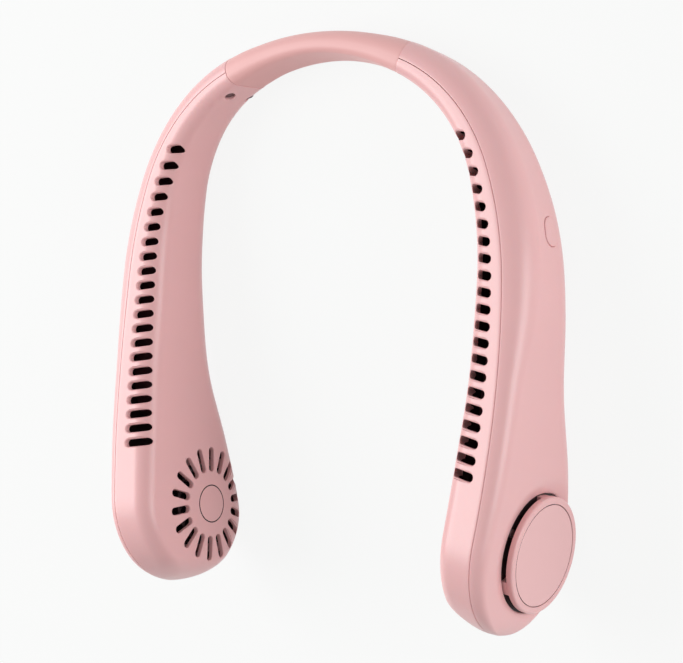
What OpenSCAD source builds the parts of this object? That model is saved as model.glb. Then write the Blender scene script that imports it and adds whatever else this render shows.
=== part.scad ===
// Neck fan: a soft band behind the neck joins two hollow arms.
// Each arm ends in a flat pod that holds a small two-sided blower. Air is drawn in through
// the inner grille and under the outer disc, runs up a duct and leaves by a row of slots.
// Plan coordinates: the parting line of the arms starts at the apex of the band at 0, 0
// and runs clockwise along +X and then -Y. Height Z is 0 near the slotted front edge.
// The finished part is tipped so that it lies on the back edges of its pods and band.

/* [Plan curve of the parting line] */
// Bend radius of the neck band
band_r = 107.5; // [100:0.5:115]
// Half of the angle that the neck band spans
band_a = 21.8; // [20:0.2:23]
// Bend radius of the shoulders
shoulder_r = 65.4; // [62:0.2:70]
// Angle of each shoulder bend
shoulder_a = 47.4; // [45:0.2:50]
// Bend radius of the arms' sides
side_r = 130.6; // [120:0.2:145]
// Angle of each side bend
side_a = 17.1; // [15:0.1:19]
// Bend radius of the long lower stretch
lower_r = 438; // [400:1:500]
// Length of the long lower stretch, to the tip of the pod
lower_len = 119; // [114:0.5:125]

/* [Arm section] */
// Depth of the inner half of the pod, from the parting line
inner_t = 17; // [16.2:0.1:18]
// Depth of the outer half at the thickest place
outer_t = 9.3; // [8.8:0.1:10]
// Width of the pod behind the front edge
pod_w = 60; // [58:0.5:63]
// Rise of the front edge at the apex of the band
front_rise = 9.4; // [8:0.1:10.5]
// Slope of the front face inside the parting line
inner_slope_a = 5; // [4:0.5:7]
// Radius of the round crown at the front, as a share of the outer half's depth
crown_share = 1.12; // [1.06:0.01:1.2]
// Radius of the front inner edge on the pod
inner_edge_r = 7.4; // [6.6:0.1:8]
// Radius of the back inner edge on the pod
back_inner_r = 9.5; // [8.5:0.1:10.3]
// Radius of the back outer edge on the pod
back_edge_r = 9.8; // [8.8:0.1:10.4]
// How far the inner face draws in at its front and back ends, as a share of its depth
bow_share = 0.09; // [0.06:0.01:0.11]
// Rounding of the pod's tip seen from its flat side
tip_w_r = 32; // [30:0.5:33]
// Rounding of the pod's tip seen from the front
tip_t_r = 8.8; // [8:0.1:9.6]
// Wall thickness of the shells
wall = 1.8; // [1.6:0.05:2]
// Gap between the two shells at the parting line
seam_gap = 0.2; // [0.12:0.02:0.26]

/* [Air slots] */
// Number of slots in each arm
slot_n = 21; // [15:1:21]
// Distance between slots
slot_pitch = 5.48; // [5:0.02:5.56]
// Width of a slot
slot_w = 2.9; // [2.2:0.1:3.2]
// Lean of the slots to the line across the fan
slot_a = 10.6; // [9:0.2:12]
// Distance of the first slot from the apex, square to the slots
slot_first = 22.2; // [21:0.2:23.8]
// Distance from the parting line to the slots, without their drift
slot_margin = 2.1; // [1.8:0.1:2.8]
// Drift of the slots away from the parting line, as a share of the inner depth
slot_drift_share = 0.16; // [0.12:0.01:0.2]
// Distance from the parting line to the inner ends of the first slots
slot_far = 10.1; // [9.6:0.1:10.5]
// Number of slots before their inner ends move out
slot_far_n = 4.5; // [3.5:0.5:5.5]
// How much further each slot after these ends
slot_far_step = 0.32; // [0.28:0.01:0.34]
// Largest distance of the slots' inner ends, as a share of the inner depth
slot_reach_share = 0.9; // [0.85:0.01:0.91]

/* [Blower] */
// Distance of the blower's axis from the pod's tip
fan_from_tip = 29.8; // [28.8:0.1:31]
// Depth of the blower's axis behind the front edge, as a share of the pod's width
fan_depth_share = 0.6; // [0.585:0.005:0.615]
// Outer radius of the grille slots, as a share of the pod's width
grille_share = 0.3733; // [0.36:0.0025:0.38]
// Inner radius of the grille slots, as a share of the pod's width
grille_in_share = 0.2133; // [0.2067:0.0025:0.225]
// Reach of the grille slots towards the back edge, as a share of the pod's width
grille_back_share = 0.34; // [0.33:0.0025:0.35]
// Number of grille slots
grille_n = 18; // [14:1:18]
// Radius of the marking ring on the grille, as a share of the pod's width
mark_share = 0.1217; // [0.11:0.0025:0.133]
// Radius of the blower wheel, as a share of the pod's width
wheel_share = 0.2633; // [0.25:0.0025:0.266]
// Width of the blower wheel
wheel_w = 9.4; // [8.8:0.1:9.8]
// Number of blower blades
blade_n = 30; // [20:1:36]
// Radius of the motor shaft
shaft_r = 1; // [0.9:0.05:1.1]
// Radius of the motor bell, as a share of the pod's width
bell_share = 0.1533; // [0.149:0.001:0.158]

/* [Outer disc] */
// Radius of the raised disc, as a share of the pod's width
disc_share = 0.3417; // [0.334:0.0025:0.35]
// Thickness of the raised disc
disc_t = 2.4; // [2.2:0.1:2.8]
// Air gap under the disc
disc_gap = 2.1; // [1.8:0.1:2.3]
// Radius of the plate set into the disc, as a share of the pod's width
plate_share = 0.2983; // [0.284:0.0025:0.303]

/* [Power button] */
// Height of the button along the arm
button_h = 10.2; // [9.4:0.2:11]
// Width of the button
button_w = 7.9; // [7.1:0.1:8.3]
// Distance of the button below the shoulder bend, along the parting line
button_from_shoulder = 22; // [20:0.5:25]
// Depth of the button behind the front edge, as a share of the pod's width
button_depth_share = 0.25; // [0.24:0.0025:0.2575]
// Travel of the button
button_travel = 0.6; // [0.4:0.05:0.7]

/* [Neck band] */
// Distance of the joint with the arm from the end of the band's bend
joint_in = 2.8; // [2:0.1:3.4]
// Lean of the joint, with its back end nearer to the apex
joint_lean_a = 15; // [11:0.5:17]
// Step in from the arms' skin to the band's skin
band_step = 0.4; // [0.2:0.05:0.6]
// Thickness of the spring strip in the band
strip_t = 0.8; // [0.6:0.05:1]
// Width of the spring strip
strip_w = 8; // [7:0.1:9]

/* [Hidden] */

pink = [0.93, 0.71, 0.71];
soft_pink = [0.91, 0.69, 0.68];
steel = [0.75, 0.76, 0.78];
dark = [0.16, 0.15, 0.16];
copper = [0.72, 0.42, 0.22];
board_green = [0.1, 0.34, 0.2];

// Small overrun that lets a cut pass its face
over = 0.5;
// Clearance between parts that are fitted together
fit = 0.15;
// Clearance around things that lie loosely in a space
loose = 0.3;
// Radial clearance of the running shaft
run_gap = 0.02;

// Shares of the named sizes at even steps from the apex of the band to the pod's tip
inner_shares = [0.174, 0.25, 0.374, 0.52, 0.71, 0.85, 0.91, 1, 0.99, 0.9];
outer_shares = [0.657, 0.726, 0.84, 0.89, 1, 0.93, 0.655, 0.58, 0.484, 0.403];
front_shares = [1, 0.95, 0.83, 0.64, 0.39, 0.21, 0.13, 0.12, 0.11, 0.11];
back_shares = [0.155, 0.158, 0.229, 0.342, 0.459, 0.553, 0.667, 0.862, 1.011, 1.04];
// Share of the arm's depth that the duct takes, from its top end down to the blower
duct_shares = [0.12, 0.4, 0.44, 0.42, 0.4, 0.38, 0.36, 0.36, 0.34, 0.3, 0.29, 0.45, 0.96];

function arc_len(r, a) = r * a * PI / 180;
function mix(a, b, t) = a + (b - a) * t;

band_q = arc_len(band_r, band_a);
shoulder_q = band_q + arc_len(shoulder_r, shoulder_a);
side_q = shoulder_q + arc_len(side_r, side_a);
arm_q = side_q + lower_len;
button_q = shoulder_q + button_from_shoulder;
joint_q = band_q - joint_in;

// Sizes that follow the width of the pod
fan_depth = pod_w * fan_depth_share;
grille_r = pod_w * grille_share;
grille_back = pod_w * grille_back_share;
grille_in_r = pod_w * grille_in_share;
mark_r = pod_w * mark_share;
wheel_r = pod_w * wheel_share;
bell_r = pod_w * bell_share;
disc_r = pod_w * disc_share;
plate_r = pod_w * plate_share;
button_depth = pod_w * button_depth_share;

// A point and heading a distance s further round an arc of radius r
function along(p, r, s) = let(h = p[2] + s / r * 180 / PI)
    [p[0] + r * (sin(h) - sin(p[2])), p[1] + r * (cos(h) - cos(p[2])), h];
at_band = along([0, 0, 0], band_r, band_q);
at_shoulder = along(at_band, shoulder_r, shoulder_q - band_q);
at_side = along(at_shoulder, side_r, side_q - shoulder_q);

// Point and heading of the parting line at distance q from the apex
function plan(q) =
    q <= band_q ? along([0, 0, 0], band_r, q) :
    q <= shoulder_q ? along(at_band, shoulder_r, q - band_q) :
    q <= side_q ? along(at_shoulder, side_r, q - shoulder_q) :
    along(at_side, lower_r, q - side_q);

// Smooth value of a table of shares, with u from 0 to 1 along the table
function smooth(tab, u) =
    let(n = len(tab) - 1, s = min(max(u, 0), 1) * n, i = min(floor(s), n - 1), t = s - i,
        b = tab[i], c = tab[i + 1],
        a = i > 0 ? tab[i - 1] : c,
        d = i + 2 <= n ? tab[i + 2] : 2 * c - b)
    b + 0.5 * t * ((c - a) + t * ((2 * a - 5 * b + 4 * c - d) + t * (3 * b - a - 3 * c + d)));

// How far a round tip of radius r has closed at a distance s before its end
function tip(s, r) = s >= r ? 1 : sqrt(max(0, 1 - pow(1 - s / r, 2)));

// Half sizes of the section at q, drawn in by w: inner and outer depth, front and back height
function inner_x(q, w = 0) = (inner_t * smooth(inner_shares, q / arm_q) - w);
function outer_x(q, w = 0) = (outer_t * smooth(outer_shares, q / arm_q) - w);
function front_z(q, w = 0) = front_rise * smooth(front_shares, q / arm_q) - w;
function back_z(q, w = 0) = -pod_w * smooth(back_shares, q / arm_q) + w;

section_steps = 4;
full_t = inner_t + outer_t * outer_shares[8];

// Outline of the section as [outward, height] points, drawn in by w: a round crown over the parting
// line, a gentle slope, and an inner face that bows in towards both its ends
function section(q, w = 0) =
    let(kt = tip(arm_q - w - q, tip_t_r - w), kw = tip(arm_q - w - q, tip_w_r - w),
        i = inner_x(q, w) * kt, o = outer_x(q, w) * kt,
        mid = (front_z(q, w) + back_z(q, w)) / 2, h = (front_z(q, w) - back_z(q, w)) / 2 * kw,
        f = mid + h, b = mid - h,
        grow = (inner_x(q) + outer_x(q)) / full_t, least_r = wall / 3,
        cap_r = min(0.45 * (i + o), 0.9 * h),
        rc = min(max(crown_share * outer_x(q) - w, least_r), min(0.54 * (i + o), 0.9 * h)),
        ri = min(max(inner_edge_r * grow - w, least_r), cap_r),
        rn = min(max(back_inner_r * grow - w, least_r), cap_r),
        rb = min(max(back_edge_r * grow - w, least_r), cap_r),
        full_r = rc + w * kt, full_o = o + w * kt,
        turn = min(acos(min(1 - full_o / full_r, 1)), 90 + inner_slope_a),
        yc = f + w * kt - full_r * sin(turn) + tan(inner_slope_a) * (full_o - full_r + full_r * cos(turn)),
        yi = yc + (rc - ri + sin(inner_slope_a) * (rc + ri - i - o)) / cos(inner_slope_a),
        step = 1 / section_steps,
        outline = concat(
            [for (k = [0:2 * section_steps]) let(a = k * step / 2 * (90 + inner_slope_a))
                [o - rc + rc * cos(a), yc + rc * sin(a)]],
            [for (k = [0:section_steps]) let(a = mix(90 + inner_slope_a, 180, k * step))
                [ri - i + ri * cos(a), yi + ri * sin(a)]],
            [for (k = [1:section_steps - 1]) [-i, mix(yi, b + rn, k * step)]],
            [for (k = [0:section_steps]) let(a = mix(180, 270, k * step))
                [rn - i + rn * cos(a), b + rn + rn * sin(a)]],
            [for (k = [0:section_steps]) let(a = mix(270, 360, k * step))
                [o - rb + rb * cos(a), b + rb + rb * sin(a)]]))
    [for (v = outline) [v[0] < 0 ? v[0] * (1 - bow_share * pow((v[1] - mid) / h, 2)) : v[0], v[1]]];

// Place of the inner skin at q and height z
function inner_skin_x(q, z) = lookup(z, [for (v = section(q)) if (v[0] < 0) [v[1], v[0]]]);

// The section's points in space
function ring(q, w = 0) = let(p = plan(q), s = section(q, w))
    [for (v = s) [p[0] + v[0] * sin(p[2]), p[1] + v[0] * cos(p[2]), v[1]]];

// Stations from q0 to the closed tip, closer together where the tip rounds off
arm_steps = 24;
tip_steps = 10;
function stations(q0, w = 0) = let(q1 = arm_q - w - (tip_w_r - w))
    concat([for (k = [0:arm_steps]) mix(q0, q1, k / arm_steps)],
           [for (k = [1:tip_steps]) let(a = k * 87.5 / tip_steps)
               q1 + (tip_w_r - w) * sin(a)]);

// A solid through rings of points with the same count
module loft(rings) {
    m = len(rings[0]);
    n = len(rings);
    faces = concat(
        [[for (j = [0:m - 1]) j]],
        [for (i = [0:n - 2], j = [0:m - 1]) [i * m + j, (i + 1) * m + j, i * m + (j + 1) % m]],
        [for (i = [0:n - 2], j = [0:m - 1])
            [i * m + (j + 1) % m, (i + 1) * m + j, (i + 1) * m + (j + 1) % m]],
        [[for (j = [m - 1:-1:0]) (n - 1) * m + j]]);
    polyhedron([for (r = rings) each r], faces, convexity = 8);
}

// Solid of the right arm from station q0 to its tip, drawn in by w
module arm_solid(q0, w = 0) loft([for (q = stations(q0, w)) ring(q, w)]);

// Local frame on the parting line: X points outward, Y towards the apex, Z to the front
module on_arm(q) {
    p = plan(q);
    translate([p[0], p[1], 0]) rotate([0, 0, 90 - p[2]]) children();
}

// Tipping angle at which the pods and the shoulders with their band reach equally low
function dip(v, t) = v[2] * cos(t) - v[1] * sin(t);
rest_steps = 12;
function pod_low(t) = min([for (q = stations(shoulder_q)) for (v = ring(q)) dip(v, t)]);
function band_low(t) = min(concat(
    [for (k = [0:4]) for (v = ring(k * joint_q / 4, band_step)) dip(v, t)],
    [for (k = [0:rest_steps]) for (v = ring(mix(joint_q, shoulder_q, k / rest_steps))) dip(v, t)]));
function settle(t, n) = n == 0 ? t :
    settle(t - (pod_low(t) - band_low(t)) / -plan(arm_q)[1] * 180 / PI, n - 1);
rest_a = settle(atan(pod_w * (back_shares[8] - back_shares[0]) / -plan(arm_q)[1]), 5);
function reach(v) = v[1] * cos(rest_a) + v[2] * sin(rest_a);
back_y = max([for (k = [0:4]) for (v = ring(k * band_q / 4, band_step)) reach(v)]);
tip_y = min([for (q = stations(side_q)) for (v = ring(q)) reach(v)]);

// Moves a piece from plan coordinates to where it lies on the table
module right_side() translate([0, -(back_y + tip_y) / 2, -band_low(rest_a)])
    rotate([-rest_a, 0, 0]) children();
module left_side() right_side() mirror([1, 0, 0]) children();

// Joint between band and arm
joint_gap = 0.3;
joint_room = 5;
arm_start = joint_q - joint_room;
cavity_start = arm_start - over;

// Everything on one side of the joint's plane: side 1 towards the apex, side -1 towards the arm
module joint_space(side) on_arm(band_q) translate([0, joint_in, 0]) rotate([joint_lean_a, 0, 0])
    translate([-pod_w / 2, (side - 1) * pod_w / 2 - side * joint_gap / 2, -pod_w / 2]) cube(pod_w);

// Region of the plan outside (side 1) or inside (side -1) the parting line
part_steps = 45;
function part_line(off) = [for (k = [0:part_steps])
    let(p = plan(mix(arm_start - 2 * over, arm_q + 2 * over, k / part_steps)))
    [p[0] + off * sin(p[2]), p[1] + off * cos(p[2])]];
module part_region(side) {
    far = side > 0 ? 2 * outer_t : -2 * inner_t;
    translate([0, 0, -1.5 * pod_w]) linear_extrude(2.5 * pod_w)
        polygon(concat(part_line(side * seam_gap / 2),
            [for (k = [part_steps:-1:0]) part_line(far)[k]]));
}

// Hollow half of the arm on one side of the parting line
module half_shell(side) intersection() {
    difference() {
        arm_solid(arm_start);
        arm_solid(cavity_start, wall);
        joint_space(1);
    }
    part_region(side);
}

// Blower axis and the levels along it, measured outward from the parting line
fan_q = arm_q - fan_from_tip;
pod_in = inner_x(fan_q);
pod_out = outer_x(fan_q);
dome_h = 0.6;
dome_rim_share = 0.74;
dome_rim_r = grille_r * dome_rim_share;
dome_fall = 1.4;
grille_reach = 7;
inner_floor = -pod_in + wall;
disc_rise = 1.9;
disc_top = pod_out + disc_rise;
disc_low = disc_top - disc_t;
intake_top = disc_low - disc_gap;
intake_t = 0.9;
recess_floor = intake_top - intake_t;
recess_wall = 1;
rim_gap = 0.5;
recess_r = disc_r + rim_gap;
lip_drop = 1.4;
dish_floor = disc_low - lip_drop;
dish_slope_a = 20.8;
dish_rise = pod_out + 2 * over - dish_floor;
throat_share = 0.634;
throat_r = disc_r * throat_share;

module on_fan(x) on_arm(fan_q) translate([x, 0, -fan_depth]) rotate([0, 90, 0]) children();
// Places copies round the blower's axis, at angles from the front edge towards the apex
module round_fan(x, r, angles) on_fan(x) for (a = angles) rotate([0, 0, 180 - a])
    translate([r, 0, 0]) children();

shell_screw_angles = [20, 120, -120];
shell_screw_in = 1.2;
shell_screw_ring = disc_r - shell_screw_in;
shell_screw_r = 0.9;
shell_boss_r = 1.9;
motor_screw_angles = [0, 120, 240];
motor_screw_in = 2;
motor_screw_ring = bell_r - motor_screw_in;
motor_screw_r = 0.7;
// Bridges carry the disc at its rim, and posts nearer its middle
bridge_angles = [-37, 81.5];
bridge_spread = 15.5;
bridge_w = 3.2;
bridge_set_back = 0.15;
bridge_pin_ring = disc_r - bridge_set_back - bridge_w / 2;
disc_post_angles = [150, -150];
disc_post_r = 1.6;
disc_post_edge = 0.6;
disc_post_ring = throat_r + disc_post_r + disc_post_edge;
disc_pin_r = 0.8;

// Screws of the band couplers, on the inner face of each arm: place along the arm, height and skin
coupler_screw_in = 5.65;
coupler_screw_slant = 1.6;
coupler_screw_edge = 3;
coupler_screw_pitch = 10.3;
coupler_spots = [for (k = [1, 0])
    let(q = band_q + coupler_screw_in - (1 - k) * coupler_screw_slant,
        z = back_z(band_q + coupler_screw_in) + coupler_screw_edge + k * coupler_screw_pitch)
    [q, z, inner_skin_x(q, z)]];
coupler_hole_r = 2;
coupler_head_r = 1.7;
coupler_head_h = 1.2;
coupler_shank_r = 0.9;
coupler_boss_r = 3;
coupler_boss_h = 3;
coupler_web = 1;
coupler_grip = 4.4;
// Places copies at these screws, a depth x under the skin, turned to point outward
module at_coupler_screws(x) for (s = coupler_spots) on_arm(s[0]) translate([s[2] + x, 0, s[1]])
    rotate([0, 90, 0]) children();

module stadium(w, len) {
    square([len - w, w], center = true);
    for (s = [-1, 1]) translate([s * (len - w) / 2, 0]) circle(d = w, $fn = 20);
}

// Place where a slot's centre line crosses the parting line
function cross_q(c, q, n) = n == 0 ? q :
    let(p = plan(q), e = p[0] * sin(slot_a) + p[1] * cos(slot_a) - c)
    cross_q(c, q - e / (cos(p[2]) * sin(slot_a) - sin(p[2]) * cos(slot_a)), n - 1);

module air_slots() for (k = [0:slot_n - 1]) {
    q = cross_q(-slot_first - k * slot_pitch, 2 * band_q + k * slot_pitch, 8);
    p = plan(q);
    turn = cos(90 - p[2] + slot_a);
    near = (slot_margin + slot_drift_share * inner_x(q)) / turn;
    far = min(slot_reach_share * inner_x(q) / turn,
        slot_far + max(k - slot_far_n, 0) * slot_far_step);
    top = front_z(q) + over;
    corner = inner_edge_r * (inner_x(q) + outer_x(q)) / full_t;
    low = front_z(q) - tan(inner_slope_a) * inner_x(q) - 0.8 * corner - wall;
    translate([p[0], p[1], low]) rotate([0, 0, -slot_a]) translate([-(near + far) / 2, 0, 0])
        linear_extrude(top - low) stadium(slot_w, far - near);
}

module grille_cut() {
    depth = grille_reach + dome_h + over;
    for (k = [0:grille_n - 1]) {
        a = (k + 0.5) * 360 / grille_n;
        // The slots that point to the back end short of the rounded edge
        end = cos(a) > 0 ? min(grille_r, grille_back / cos(a)) : grille_r;
        on_fan(-pod_in - dome_h - over) rotate([0, 0, a]) translate([(end + grille_in_r) / 2, 0, 0])
            linear_extrude(depth) stadium(slot_w, end - grille_in_r);
    }
    groove_w = 0.4;
    groove_d = over + dome_fall * pow(mark_r / dome_rim_r, 2) + groove_w;
    on_fan(-pod_in - dome_h - over) rotate_extrude($fn = 64) translate([mark_r - groove_w / 2, 0])
        square([groove_w, groove_d]);
}

module dome() {
    round_r = (pow(dome_rim_r, 2) + pow(dome_fall, 2)) / (2 * dome_fall);
    steps = 8;
    on_fan(-pod_in - dome_h) rotate_extrude($fn = 96) polygon(concat(
        [[0, dome_h + wall / 2], [0, 0]],
        [for (k = [1:steps]) let(r = dome_rim_r * k / steps)
            [r, round_r - sqrt(pow(round_r, 2) - r * r)]],
        [[dome_rim_r, dome_h + wall / 2]]));
}

module inner_shell() color(pink) difference() {
    union() {
        difference() {
            union() {
                half_shell(-1);
                dome();
            }
            // Flat floor under the blower
            on_fan(inner_floor) cylinder(r = wheel_r + loose, h = wall, $fn = 96);
        }
        // Bosses that carry the shell screws, joined to the floor of the pod
        intersection() {
            round_fan(inner_floor - over, shell_screw_ring, shell_screw_angles)
                cylinder(r = shell_boss_r, h = over - inner_floor, $fn = 32);
            part_region(-1);
        }
        intersection() {
            at_coupler_screws(0) cylinder(r = coupler_boss_r, h = coupler_boss_h, $fn = 40);
            arm_solid(arm_start, wall / 2);
        }
    }
    air_slots();
    grille_cut();
    round_fan(inner_floor, shell_screw_ring, shell_screw_angles)
        cylinder(r = shell_screw_r, h = -inner_floor + over, $fn = 24);
    round_fan(inner_floor - wall / 2, motor_screw_ring, motor_screw_angles)
        cylinder(r = motor_screw_r, h = wall, $fn = 24);
    at_coupler_screws(-wall) {
        cylinder(r = coupler_hole_r, h = coupler_boss_h - coupler_web + wall, $fn = 40);
        cylinder(r = coupler_shank_r + fit, h = coupler_boss_h + wall + 2 * over, $fn = 32);
    }
}

// Button opening and its surroundings, as seen from outside
module on_button(x) on_arm(button_q) translate([x, 0, -button_depth]) rotate([0, 90, 0])
    children();
module button_shape(gap = 0) linear_extrude_stadium(button_w + 2 * gap, button_h + 2 * gap);
module linear_extrude_stadium(w, len) rotate([0, 0, 90]) stadium(w, len);

board_x = -0.4;
board_t = 1.2;
board_len = 36;
board_share = 0.1633;
board_w = pod_w * board_share;
board_shift = -1;
board_drop = 1.6;
board_screw_y = 16;
board_screw_r = 0.8;
board_boss_r = 2;
module on_board(x) on_arm(button_q) translate([x, board_shift, -button_depth - board_drop]) children();

port_w = 8.94;
port_t = 3.16;
port_len = 7.4;
port_y = 9;
port_x = board_x + board_t;
port_sink = 1.4;
port_low = back_z(button_q - port_y) + port_sink;
module on_port(z) on_arm(button_q) translate([port_x + port_t / 2, board_shift + port_y, z])
    rotate([0, 0, 90]) children();

// Pins under the bridges and posts of the outer disc, drawn out by gap
module disc_pins(gap = 0) {
    round_fan(recess_floor - recess_wall + fit - gap, bridge_pin_ring, bridge_angles)
        cylinder(r = disc_pin_r + gap, h = intake_t + recess_wall + gap, $fn = 24);
    round_fan(recess_floor - recess_wall + fit - gap, disc_post_ring, disc_post_angles)
        cylinder(r = disc_pin_r + gap, h = intake_t + recess_wall + gap, $fn = 24);
}

// Dark plate on the recess floor, with the throat that the outer air goes through
module intake_plate() color(dark) difference() {
    intersection() {
        on_fan(recess_floor) cylinder(r = recess_r - fit, h = intake_t, $fn = 96);
        arm_solid(arm_start, wall / 4);
    }
    on_fan(recess_floor - over) cylinder(r = throat_r, h = outer_t, $fn = 96);
    round_fan(-over, shell_screw_ring, shell_screw_angles)
        cylinder(r = shell_screw_r + fit, h = outer_t, $fn = 24);
    disc_pins(fit / 2);
}

// Round recess and dished rim under the outer disc
module disc_recess() {
    on_fan(recess_floor) cylinder(r = recess_r, h = outer_t, $fn = 96);
    on_fan(dish_floor) cylinder(r1 = recess_r, r2 = recess_r + dish_rise / tan(dish_slope_a),
        h = dish_rise, $fn = 96);
}

module outer_shell(with_button) color(pink) difference() {
    union() {
        difference() {
            half_shell(1);
            disc_recess();
        }
        // Floor of the recess, kept inside the skin of the pod
        difference() {
            intersection() {
                on_fan(recess_floor - recess_wall) cylinder(r = recess_r + wall, h = outer_t, $fn = 96);
                arm_solid(arm_start, wall / 4);
                part_region(1);
            }
            disc_recess();
        }
        if (with_button) intersection() {
            for (s = [-1, 1]) on_board(port_x) translate([0, s * board_screw_y, 0])
                rotate([0, 90, 0]) cylinder(r = board_boss_r, h = outer_t, $fn = 32);
            arm_solid(arm_start, wall / 2);
        }
    }
    on_fan(recess_floor - recess_wall - over) cylinder(r = throat_r, h = outer_t, $fn = 96);
    round_fan(-over, shell_screw_ring, shell_screw_angles)
        cylinder(r = shell_screw_r + fit, h = outer_t, $fn = 24);
    disc_pins(fit / 2);
    if (with_button) {
        on_button(port_x + switch_t) linear_extrude(outer_t) button_shape(fit);
        for (s = [-1, 1]) on_board(board_x) translate([0, s * board_screw_y, 0])
            rotate([0, 90, 0]) cylinder(r = board_screw_r, h = 5 * board_t, $fn = 24);
        on_port(-pod_w) linear_extrude(pod_w + port_low + port_len)
            stadium(port_t + 2 * fit, port_w + 2 * fit);
    }
}

// Wall between the air duct and the space for the battery, from its top end to the blower
divider_from_band = 26.1;
divider_gap = 0.9;
divider_top_q = band_q + divider_from_band;
divider_end_q = fan_q - shell_screw_ring - divider_gap;
divider_t = 1.2;
divider_steps = 24;
module air_divider() color(dark) intersection() {
    loft([for (k = [0:divider_steps])
        let(u = k / divider_steps, q = mix(divider_top_q, divider_end_q, u), p = plan(q),
            z = mix(front_z(q, wall), back_z(q, wall), smooth(duct_shares, u)), far = divider_t / 2)
        [for (v = [[outer_t, far], [-inner_t, far], [-inner_t, -far], [outer_t, -far]])
            [p[0] + v[0] * sin(p[2]), p[1] + v[0] * cos(p[2]), z + v[1]]]]);
    arm_solid(arm_start, wall + fit);
}

battery_len = 44;
battery_gap = 3;
battery_q = button_q + (board_len + battery_len) / 2 + battery_gap;
battery_share = 0.225;
battery_w = pod_w * battery_share;
battery_t = 12;
battery_x = -4.4;
battery_lift = 2.2;
function battery_z() = back_z(battery_q - battery_len / 2, wall) + battery_w / 2 + battery_lift;
module battery() color([0.2, 0.35, 0.6]) on_arm(battery_q)
    translate([battery_x, 0, battery_z()]) rotate([90, 0, 0]) {
        edge = 1.5;
        linear_extrude(battery_len, center = true) offset(r = edge, $fn = 24)
            square([battery_t - 2 * edge, battery_w - 2 * edge], center = true);
    }

// Levels of the motor along the blower's axis
base_t = 1;
tube_r = 3;
bearing_r = 2.2;
bearing_len = 6;
stator_lift = 2.1;
stator_x = inner_floor + stator_lift;
stator_t = 3.6;
bell_wall = 0.8;
bell_room = 1.2;
bell_top = stator_x + stator_t + bell_room;
wheel_lift = 1.6;
wheel_x = inner_floor + wheel_lift;

module motor_base() color(dark) difference() {
    union() {
        on_fan(inner_floor) cylinder(r = bell_r - 0.2, h = base_t, $fn = 64);
        on_fan(inner_floor) cylinder(r = tube_r, h = bearing_len, $fn = 48);
    }
    on_fan(inner_floor + 2 * fit) cylinder(r = bearing_r, h = 2 * bearing_len, $fn = 48);
    round_fan(inner_floor - over, motor_screw_ring, motor_screw_angles)
        cylinder(r = motor_screw_r + fit, h = base_t + 2 * over, $fn = 24);
}

module motor_bearing() color([0.72, 0.6, 0.35]) on_fan(inner_floor + 2 * fit) difference() {
    cylinder(r = bearing_r, h = bearing_len - 2 * fit, $fn = 48);
    translate([0, 0, -over]) cylinder(r = shaft_r + run_gap, h = 2 * bearing_len, $fn = 48);
}

module motor_shaft() color(steel) on_fan(inner_floor + 3 * fit)
    cylinder(r = shaft_r, h = bell_top + bell_wall - inner_floor - 3 * fit, $fn = 48);

// Nine wound poles on a ring that sits on the bearing tube
pole_n = 9;
pole_w = 1.6;
module motor_stator() on_fan(stator_x) {
    face_r = bell_r - bell_wall - 2.5 * fit;
    core_t = 0.45 * stator_t;
    color(steel) difference() {
        union() {
            translate([0, 0, (stator_t - core_t) / 2]) for (k = [0:pole_n - 1])
                rotate([0, 0, k * 360 / pole_n]) translate([tube_r + fit, -pole_w / 2, 0])
                    cube([face_r - tube_r - fit, pole_w, core_t]);
            cylinder(r = tube_r + pole_w, h = stator_t, $fn = 48);
        }
        translate([0, 0, -over]) cylinder(r = tube_r + fit / 3, h = 2 * stator_t, $fn = 48);
    }
    color(copper) for (k = [0:pole_n - 1]) rotate([0, 0, k * 360 / pole_n])
        translate([(tube_r + pole_w + face_r) / 2 + pole_w / 4, 0, stator_t / 2])
            cube([face_r - tube_r - 1.6 * pole_w, 1.25 * pole_w, stator_t], center = true);
}

module motor_rotor() color(steel) difference() {
    on_fan(stator_x - fit) cylinder(r = bell_r, h = bell_top + bell_wall - stator_x + fit, $fn = 96);
    on_fan(stator_x - over) cylinder(r = bell_r - bell_wall, h = bell_top - stator_x + over, $fn = 96);
    on_fan(bell_top - over) cylinder(r = shaft_r, h = bell_wall + 2 * over, $fn = 48);
}

// Blower wheel that draws air from both sides over a middle disc
module blower_wheel() color(dark) {
    hub_w = 1.1;
    mid_t = 1;
    ring_w = 1.3;
    ring_t = 0.8;
    blade_t = 0.7;
    blade_share = 0.788;
    blade_len = (wheel_r - bell_r) * blade_share;
    blade_lean = 38;
    cup_top = bell_top + bell_wall;
    difference() {
        on_fan(stator_x) cylinder(r = bell_r + hub_w, h = cup_top + hub_w - stator_x, $fn = 96);
        on_fan(stator_x - over) cylinder(r = bell_r + fit / 3, h = cup_top - stator_x + over, $fn = 96);
    }
    difference() {
        on_fan(wheel_x + (wheel_w - mid_t) / 2) cylinder(r = wheel_r, h = mid_t, $fn = 96);
        on_fan(wheel_x) cylinder(r = bell_r + hub_w / 2, h = wheel_w, $fn = 96);
    }
    for (x = [wheel_x, wheel_x + wheel_w - ring_t]) difference() {
        on_fan(x) cylinder(r = wheel_r, h = ring_t, $fn = 96);
        on_fan(x - over) cylinder(r = wheel_r - ring_w, h = ring_t + 2 * over, $fn = 96);
    }
    on_fan(wheel_x) for (k = [0:blade_n - 1]) rotate([0, 0, k * 360 / blade_n])
        translate([wheel_r - ring_w / 2, 0, 0]) rotate([0, 0, blade_lean])
            translate([-blade_len, -blade_t / 2, 0]) cube([blade_len, blade_t, wheel_w]);
}

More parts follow.
